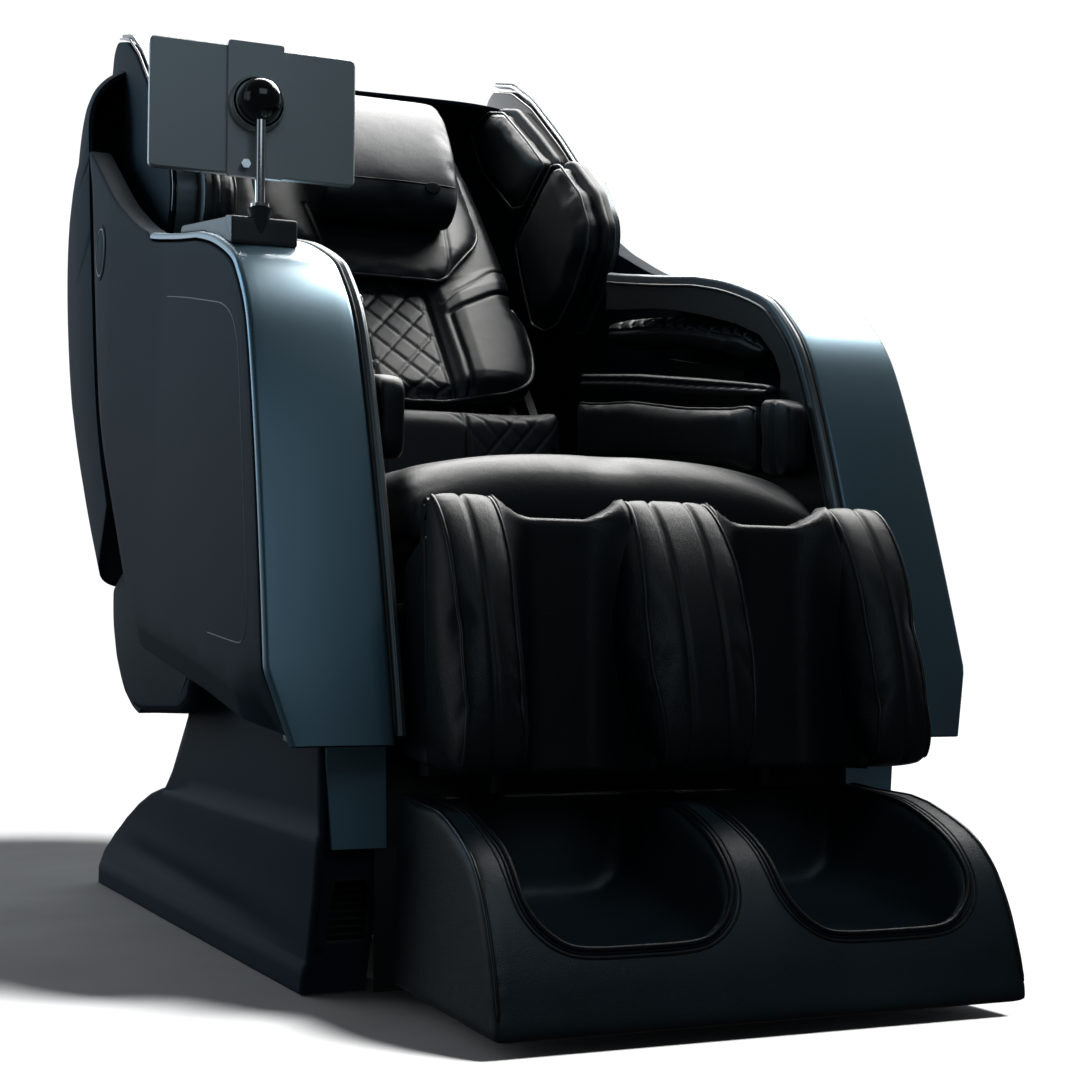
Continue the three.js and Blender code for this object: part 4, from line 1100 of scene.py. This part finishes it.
# Foot section: a padded block with two rounded wells.
foot_front = spline([(-834, 13), (-828, 40), (-820, 69), (-803, 108), (-779, 139), (-747, 159), (-694, 177),
                     (-665, 181)], 40)
foot_loop = np.vstack([foot_front, [(-561, 187), (-542, 13)]])


def well_outline(x0, x1, y0, y1, corner, steps=8):
    """A plan with rounded front corners."""
    points = [(x0, y1), ]
    for cx, cy, from_angle in ((x0 + corner, y0 + corner, 180), (x1 - corner, y0 + corner, 270)):
        for k in range(steps + 1):
            a = math.radians(from_angle + 90 * k / steps)
            points.append((cx + corner * math.cos(a), cy + corner * math.sin(a)))
    points.append((x1, y1))
    return points


def well_cutter():
    """The room for one foot: its floor slopes, its front is round, and it widens upwards."""
    rings = []
    for z, grow in ((62, -30), (66, -14), (76, -3), (96, 2), (130, 6), (170, 9), (230, 12)):
        front = np.interp(z, [56, 80, 120, 230], [-794, -813, -828, -852])
        ring = well_outline(30 - grow + 2, 194 + grow - 2, front, -585, 38)
        tilt = [0 if z > 90 else np.clip((y + 770) / 180, 0, 1) * 30 for _, y in ring]
        rings.append([(x, y, z + d) for (x, y), d in zip(ring, tilt)])
    return loft(rings)


foot_block = piece("foot_block", *prism(foot_loop, "x", -236, 236), LEATHER_FOOT, "footwell", "leather")
for side, sign in SIDES:
    v, f = well_cutter()
    v = v if sign > 0 else mirror(v)
    cutter = piece(f"cutter_{side}", v, f, LEATHER_FOOT, None, "leather")
    carve = foot_block.modifiers.new("well", "BOOLEAN")
    carve.operation, carve.object, carve.solver = "DIFFERENCE", cutter, "EXACT"
applied(foot_block)
rear_room = piece("cutter_rear", *prism([(-216, 20), (216, 20), (216, 232), (-216, 232)], "y", -568, -500), LEATHER_FOOT,
                  None, "leather")
carve = foot_block.modifiers.new("rear", "BOOLEAN")
carve.operation, carve.object, carve.solver = "DIFFERENCE", rear_room, "EXACT"
applied(foot_block)
grid = foot_block.modifiers.new("grid", "REMESH")
grid.mode, grid.voxel_size = "VOXEL", 5 * MM
applied(foot_block)
for leftover in ("cutter_right", "cutter_left", "cutter_rear"):
    bpy.data.objects.remove(bpy.data.objects[leftover])
set_positions(foot_block.data, evened(foot_block.data, positions(foot_block.data), 5))
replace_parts(foot_block, "foot_housing", "foot_liner_right", "foot_liner_left")

settle()

# ------------------------------------------------------------------ piping
pad_edge = [back_point(x, s, 2) for x, s in half_face[:16]]
low_edge = [(x, s) for x, s in half_face if s < 190]
low_edge = [(-x, s) for x, s in low_edge[::-1][:-1]] + low_edge
welt("back_welt", [back_point(x, s, -4) for x, s in low_edge], back_cushion, radius=3.2, lift=1.0, body="backrest",
     step=6)
flap_line = [back_point(x, s, -16) for x, s in flap_face if s < 420]
flap_line = sorted([p for p in flap_line], key=lambda p: p[0])
welt("flap_welt", flap_line, flap, radius=2.0, lift=0.6, body="backrest", paint=PIPING_LIGHT)
for x in (166.5, 235.5):
    line = [(x, y - 3, z) for y, z in leg_front[::2]] + [(x, -633, 461), (x, -624, 465), (x, -616, 466)]
    welt(f"bolster_welt_{int(x)}", line, bpy.data.objects["calf_bolster_cushion_right"], radius=2.0, lift=0.2,
         body="leg_rest", twin=True)
for sign in (1, -1):
    line = [(sign * 59, y - 3, z) for y, z in leg_front[::2]] + [(sign * 59, -633, 461), (sign * 59, -618, 466)]
    line = waist(np.array(line))
    welt(f"middle_welt_{'right' if sign > 0 else 'left'}", line, middle, radius=2.0, lift=0.2, body="leg_rest")
seat_edge = [(x, -556, 466) for x in np.linspace(-225, 225, 40)]
hip_piping = [(209, y, z) for y, z in hip_side[:5]]
welt("hip_welt", hip_piping, bpy.data.objects["hip_cushion_right"], radius=1.8, lift=0.4, body="seat", twin=True)
hip_end = [(209, -429, z) for z in np.linspace(584, 508, 10)]
welt("hip_end_welt", hip_end, bpy.data.objects["hip_cushion_right"], radius=1.8, lift=0.4, body="seat", twin=True)
pillow_seam = [(x, 178, 955) for x in np.linspace(-98, 98, 30)]
welt("pillow_seam", pillow_seam, pillow, radius=1.3, lift=-0.2, body="backrest")
tag_at = laid_on([(56, 180, 950)], pillow, 0.5)[0]
tag = [(tag_at[0] + 11 * math.cos(a), tag_at[2] + 7.5 * math.sin(a)) for a in np.linspace(0, 2 * math.pi, 40)[:-1]]
tag_shape, tag_faces = prism(tag, "y", tag_at[1] - 2.5, tag_at[1] + 5, 0.8)
piece("pillow_tag", tag_shape, tag_faces, DARK, "backrest", "dark_plastic", sharp=40)

# Welt lines round the rims of the foot wells.
def well_rim(distance):
    """The rim of the right well, moved outwards on the block's surface."""
    path = []
    outline_count = len(well_outline(0, 1, 0, 1, 0.2))
    levels = np.arange(70, 200, 2.0)
    tops = []
    for z in levels:
        grow = np.interp(z, [62, 66, 76, 96, 130, 170, 230], [-30, -14, -3, 2, 6, 9, 12])
        front = np.interp(z, [56, 80, 120, 230], [-794, -813, -828, -852])
        tops.append(well_outline(30 - grow + 2, 194 + grow - 2, front, -585, 38))
    profile = np.vstack([foot_front, [(-561, 187)]])
    for k in range(1, outline_count - 1):
        for z, ring in zip(levels, tops):
            x, y = ring[k]
            if z >= np.interp(y, profile[:, 0], profile[:, 1]) - 1:
                break
        path.append((x, y, z))
    x_left, x_right = path[0][0], path[-1][0]
    rear = [(y, np.interp(y, profile[:, 0], profile[:, 1])) for y in np.arange(-600, path[0][1] - 6, -10)]
    path = [(x_left, y, z) for y, z in rear] + path + [(x_right, y, z) for y, z in rear[::-1]]
    path = resample(path, 5)
    middle = np.array([112, -690, 140])
    away = path - middle
    away[:, 1] = np.minimum(away[:, 1], 0)
    away /= np.linalg.norm(away, axis=1)[:, None]
    return relax(path + away * distance, 3)


for number, distance in enumerate((7, 13, 19)):
    welt(f"well_welt_{number}", well_rim(distance), foot_block, radius=(2.4, 1.4, 1.1)[number],
         lift=(0.9, 0.2, 0.0)[number], body="footwell", twin=True, paint=LEATHER_FOOT, rounds=3)
rail_line = [(233, y, z) for y, z in foot_front[4:]] + [(233, y, z) for y, z in ((-640, 183), (-600, 185), (-570, 186))]
welt("foot_side_welt", rail_line, foot_block, radius=1.8, lift=0.4, body="footwell", twin=True)

# The foot section widens a little towards its front.
for obj in [o for o in bpy.data.objects if o.name.startswith(("foot_block", "well_welt", "foot_side_welt"))]:
    points = positions(obj.data)
    points[:, 0] *= 1 + 0.045 * np.clip((-560 - points[:, 1]) / 250, 0, 1)
    set_positions(obj.data, points)

# Leather-covered boards beside the leg rest's frame.
side_board = [(-632, 214), (-560, 222), (-556, 300), (-566, 395), (-622, 420)]
side_board = relax(resample(side_board, 8, closed=True), 1, closed=True)
pair("calf_side_board", *prism(side_board, "x", 221, 233, 4), LEATHER, "leg_rest", "leather", sharp=60)

# Tablet holder.
BALL = np.array([-318.0, -360.0, 873.0])


def turned(profile, centre, axis, steps=48):
    """A round body from (radius, height) points, turned about an axis through centre."""
    rings = []
    for r, h in profile:
        ring = []
        for a in np.linspace(0, 2 * math.pi, steps, endpoint=False):
            u, v = r * math.cos(a), r * math.sin(a)
            ring.append({"z": (u, v, h), "y": (u, h, v), "x": (h, u, v)}[axis])
        rings.append(np.array(ring) + centre)
    return loft(rings)


ball_profile = [(max(22 * math.sin(a), 0.2), -22 * math.cos(a)) for a in np.linspace(0.02, math.pi - 0.02, 29)]
ball = piece("holder_ball", *turned(ball_profile, BALL, "z"), GLOSS, "tablet_pole", "gloss_black")
rod = piece("holder_rod", *turned([(5, -129), (5, -14)], BALL, "z", 32), CHROME, "tablet_pole", "chrome", sharp=40)
collar = piece("holder_collar", *turned([(6, -111), (9.5, -110.6), (9.5, -107.5), (6, -106.5)], BALL, "z", 40), CHROME,
               "tablet_pole", "chrome", sharp=40)
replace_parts(ball, "tablet_arm")
ring_seat = [(18, 14), (23.5, 9), (26, 9), (27, 10), (26, 11.5), (28.5, 13), (29, 19)]
ring = piece("holder_ring", *turned(ring_seat, BALL, "y"), TABLET_PAINT, "tablet_head", "tablet_slate", sharp=60)
nut = piece("holder_nut", *turned([(3, 14), (5, 14), (5, 20), (3, 20)], BALL + (-12, -4, -64), "y", 6), CHROME,
            "tablet_head", "chrome", sharp=20)
cone_profile = [(2, -142), (4, -141.5), (12, -114), (12.6, -112.5), (6, -112)]
cone = piece("holder_cone", *turned(cone_profile, BALL, "z", 40), SOCKET_GREY, "seat", "dark_plastic", sharp=40)
foot_side = [(-365, 723), (-365, 751), (-334, 758), (-334, 731)]
foot_side = relax(resample(foot_side, 2.5, closed=True), 1, closed=True)
holder_foot = piece("holder_foot", *prism(foot_side, "x", -348, -280, 2.5), SOCKET_GREY, "seat", "dark_plastic",
                    sharp=30)
tail_side = [(-338, 724), (-338, 756.5), (-110, 797), (-100, 790), (-230, 764)]
tail_side = relax(resample(tail_side, 4, closed=True), 1, closed=True)
holder_tail = piece("holder_tail", *prism(tail_side, "x", -345, -290, 2.5), SOCKET_GREY, "seat", "dark_plastic",
                    sharp=30)
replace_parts(holder_foot, "tablet_clamp")

# Small details: control knob on the inner front of the left arm, base grilles.
knob = turned([(2, 0), (8, 1), (10, 3), (10, 8), (8, 10), (1, 10.5)], (-241, -423, 659), "x", 40)
piece("control_knob", knob[0], knob[1], CHROME, "seat", "chrome", sharp=40)
pair("base_grille", *prism([(243, 49), (287, 49), (287, 109), (243, 109)], "y", -492, -486, 0.8), DARK, "base",
     "dark_plastic")
frame_path = [(265 + sx * 22, y, z) for sx, y, z in ((-1, -501, 47), (1.15, -501, 47), (0.95, -527, 110), (-1.1, -527, 110))]
pair("base_grille_frame", *tube_mesh(relax(resample(frame_path, 3, closed=True), 1, closed=True), 2.4, closed=True),
     STEEL, "base", "dark_plastic")
slats = [prism([(246, z), (284, z), (284, z + 2.5), (246, z + 2.5)], "y", -497, -490, 0.6) for z in range(54, 106, 7)]
pair("base_grille_slats", *merged(slats), DARK, "base", "dark_plastic", smooth=False)
# The base's front inserts take the lighter paint that carries painted light; the slide frame and rods take the frame
# coating.
for name, paint in (("foot_slide_frame", STEEL), ("tilt_rod", STEEL), ("recline_rod", STEEL),
                    ("base_front_insert_right", INSERT_PAINTED_LIGHT), ("base_front_insert_left", INSERT_PAINTED_LIGHT)):
    NODES[name].data.materials.clear()
    NODES[name].data.materials.append(paint)


# ------------------------------------------------------------------ camera, light, floor
scene = bpy.context.scene
lens = bpy.data.cameras.new("camera")
lens.lens, lens.sensor_width, lens.clip_end = 62.19, 36, 60
camera = bpy.data.objects.new("camera", lens)
scene.collection.objects.link(camera)
camera.location = (-0.77157, -2.17456, 0.30084)
camera.rotation_euler = Vector((0.3849, 0.9204, 0.0682)).to_track_quat("-Z", "Y").to_euler()
scene.camera = camera
scene.view_settings.view_transform = "Standard"

world = bpy.data.worlds.new("studio")
scene.world = world
world.use_nodes = True
tree = world.node_tree
tree.nodes.clear()


def world_node(kind, **values):
    made = tree.nodes.new(kind)
    for key, value in values.items():
        if key in made.inputs:
            made.inputs[key].default_value = value
        else:
            setattr(made, key, value)
    return made


# White behind the camera's view; for lighting, a bright low band behind the chair and a dim front.
seen = world_node("ShaderNodeBackground", Color=(1, 1, 1, 1), Strength=1.05)
direction = world_node("ShaderNodeTexCoord")
axes = world_node("ShaderNodeSeparateXYZ")
tree.links.new(direction.outputs["Generated"], axes.inputs[0])
rearward = world_node("ShaderNodeMapRange", interpolation_type="SMOOTHSTEP")
for key, value in (("From Min", -0.02), ("From Max", 0.85), ("To Min", 0.0), ("To Max", 1.0)):
    rearward.inputs[key].default_value = value
tree.links.new(axes.outputs["Y"], rearward.inputs["Value"])
low_band = world_node("ShaderNodeMapRange", interpolation_type="SMOOTHSTEP")
for key, value in (("From Min", 0.75), ("From Max", 0.3), ("To Min", 0.12), ("To Max", 1.0)):
    low_band.inputs[key].default_value = value
tree.links.new(axes.outputs["Z"], low_band.inputs["Value"])
above = world_node("ShaderNodeMapRange")
for key, value in (("From Min", -0.06), ("From Max", 0.02), ("To Min", 0.0), ("To Max", 1.0)):
    above.inputs[key].default_value = value
tree.links.new(axes.outputs["Z"], above.inputs["Value"])
risen = world_node("ShaderNodeMath", operation="MULTIPLY")
tree.links.new(above.outputs[0], risen.inputs[0])
tree.links.new(low_band.outputs[0], risen.inputs[1])
band = world_node("ShaderNodeMath", operation="MULTIPLY")
tree.links.new(rearward.outputs[0], band.inputs[0])
tree.links.new(risen.outputs[0], band.inputs[1])
level = world_node("ShaderNodeMath", operation="MULTIPLY_ADD")
level.inputs[1].default_value = 0.95
level.inputs[2].default_value = 0.035
tree.links.new(band.outputs[0], level.inputs[0])
fill = world_node("ShaderNodeBackground", Color=(0.9, 0.95, 1, 1))
tree.links.new(level.outputs[0], fill.inputs["Strength"])
path = world_node("ShaderNodeLightPath")
mix = world_node("ShaderNodeMixShader")
out = world_node("ShaderNodeOutputWorld")
tree.links.new(path.outputs["Is Camera Ray"], mix.inputs["Fac"])
tree.links.new(fill.outputs[0], mix.inputs[1])
tree.links.new(seen.outputs[0], mix.inputs[2])
tree.links.new(mix.outputs[0], out.inputs["Surface"])

floor_mat = moulded("floor_pale", (0.88, 0.88, 0.88), 0.95, texture=0.03)
verts, faces = loft([[(x, y, z) for x, y in ((-30000, -7000), (30000, -7000), (30000, 55000), (-30000, 55000))]
                     for z in (-20, 0)])
floor = piece("floor", verts, faces, floor_mat, None, "floor", smooth=False)
floor.visible_diffuse = False
floor.visible_glossy = False
lit_floor = bpy.data.collections.new("floor_only")
lit_floor.objects.link(floor)
lit_chair = bpy.data.collections.new("all_but_floor")
lit_chair.objects.link(floor)
lit_chair.collection_objects[0].light_linking.link_state = "EXCLUDE"


def lit_only(name, *pieces):
    """A collection of the named pieces, for a lamp that lights nothing else."""
    made = bpy.data.collections.new(name)
    for key in pieces:
        made.objects.link(bpy.data.objects[key])
    return made


def lamp(name, kind, power, color, receivers, location=(0, 0, 0), towards=None, direction=None, size=None, angle=None):
    light = bpy.data.lights.new(name, kind)
    light.energy, light.color = power, color
    if size:
        light.shape = "RECTANGLE"
        light.size, light.size_y = size
    if angle is not None:
        light.angle = math.radians(angle)
    obj = bpy.data.objects.new(name, light)
    aim = Vector(direction) if direction else Vector(towards) - Vector(location)
    obj.location = location
    obj.rotation_euler = aim.to_track_quat("-Z", "Y").to_euler()
    obj.light_linking.receiver_collection = receivers
    scene.collection.objects.link(obj)


lamp("key_top", "AREA", 170, (1, 0.99, 0.97), lit_chair, location=(0.95, 0.85, 2.8), towards=(0.1, -0.3, 0.7),
     size=(3.0, 1.7))
lamp("blue_rim", "AREA", 22, (0.3, 0.68, 1), lit_chair, location=(-2.2, 2.3, 2.0), towards=(-0.3, 0.4, 0.9),
     size=(1.0, 1.6))
lamp("left_fill", "AREA", 4, (0.72, 0.88, 1), lit_chair, location=(-3.6, -0.6, 1.3), towards=(-0.2, -0.1, 0.5),
     size=(1.4, 2.2))
lamp("front_fill", "AREA", 11, (0.66, 0.86, 1), lit_chair, location=(-0.4, -3.6, 2.6), towards=(0, -0.5, 0.4),
     size=(2.4, 1.8))
lamp("panel_key", "AREA", 170, (1, 0.97, 0.95), lit_only("panels", "waterfall_panel_right", "waterfall_panel_left"),
     location=(0.85, 0.7, 2.8), towards=(0.1, -0.3, 0.7), size=(2.4, 1.2))
lamp("pillow_key", "AREA", 95, (1, 0.99, 0.98), lit_only("pillow", "head_roll"), location=(0.45, 0.1, 2.6),
     towards=(0, 0.25, 1.0), size=(1.4, 2.2))
lamp("foot_key", "AREA", 13, (0.7, 0.88, 1), lit_only("foot_section", "foot_block"), location=(-0.1, -1.95, 1.7),
     towards=(0, -0.72, 0.1), size=(1.0, 1.0))
lamp("floor_sun", "SUN", 5.2, (1, 1, 1), lit_floor, direction=(-0.6, 0.62, -1.0), angle=14)
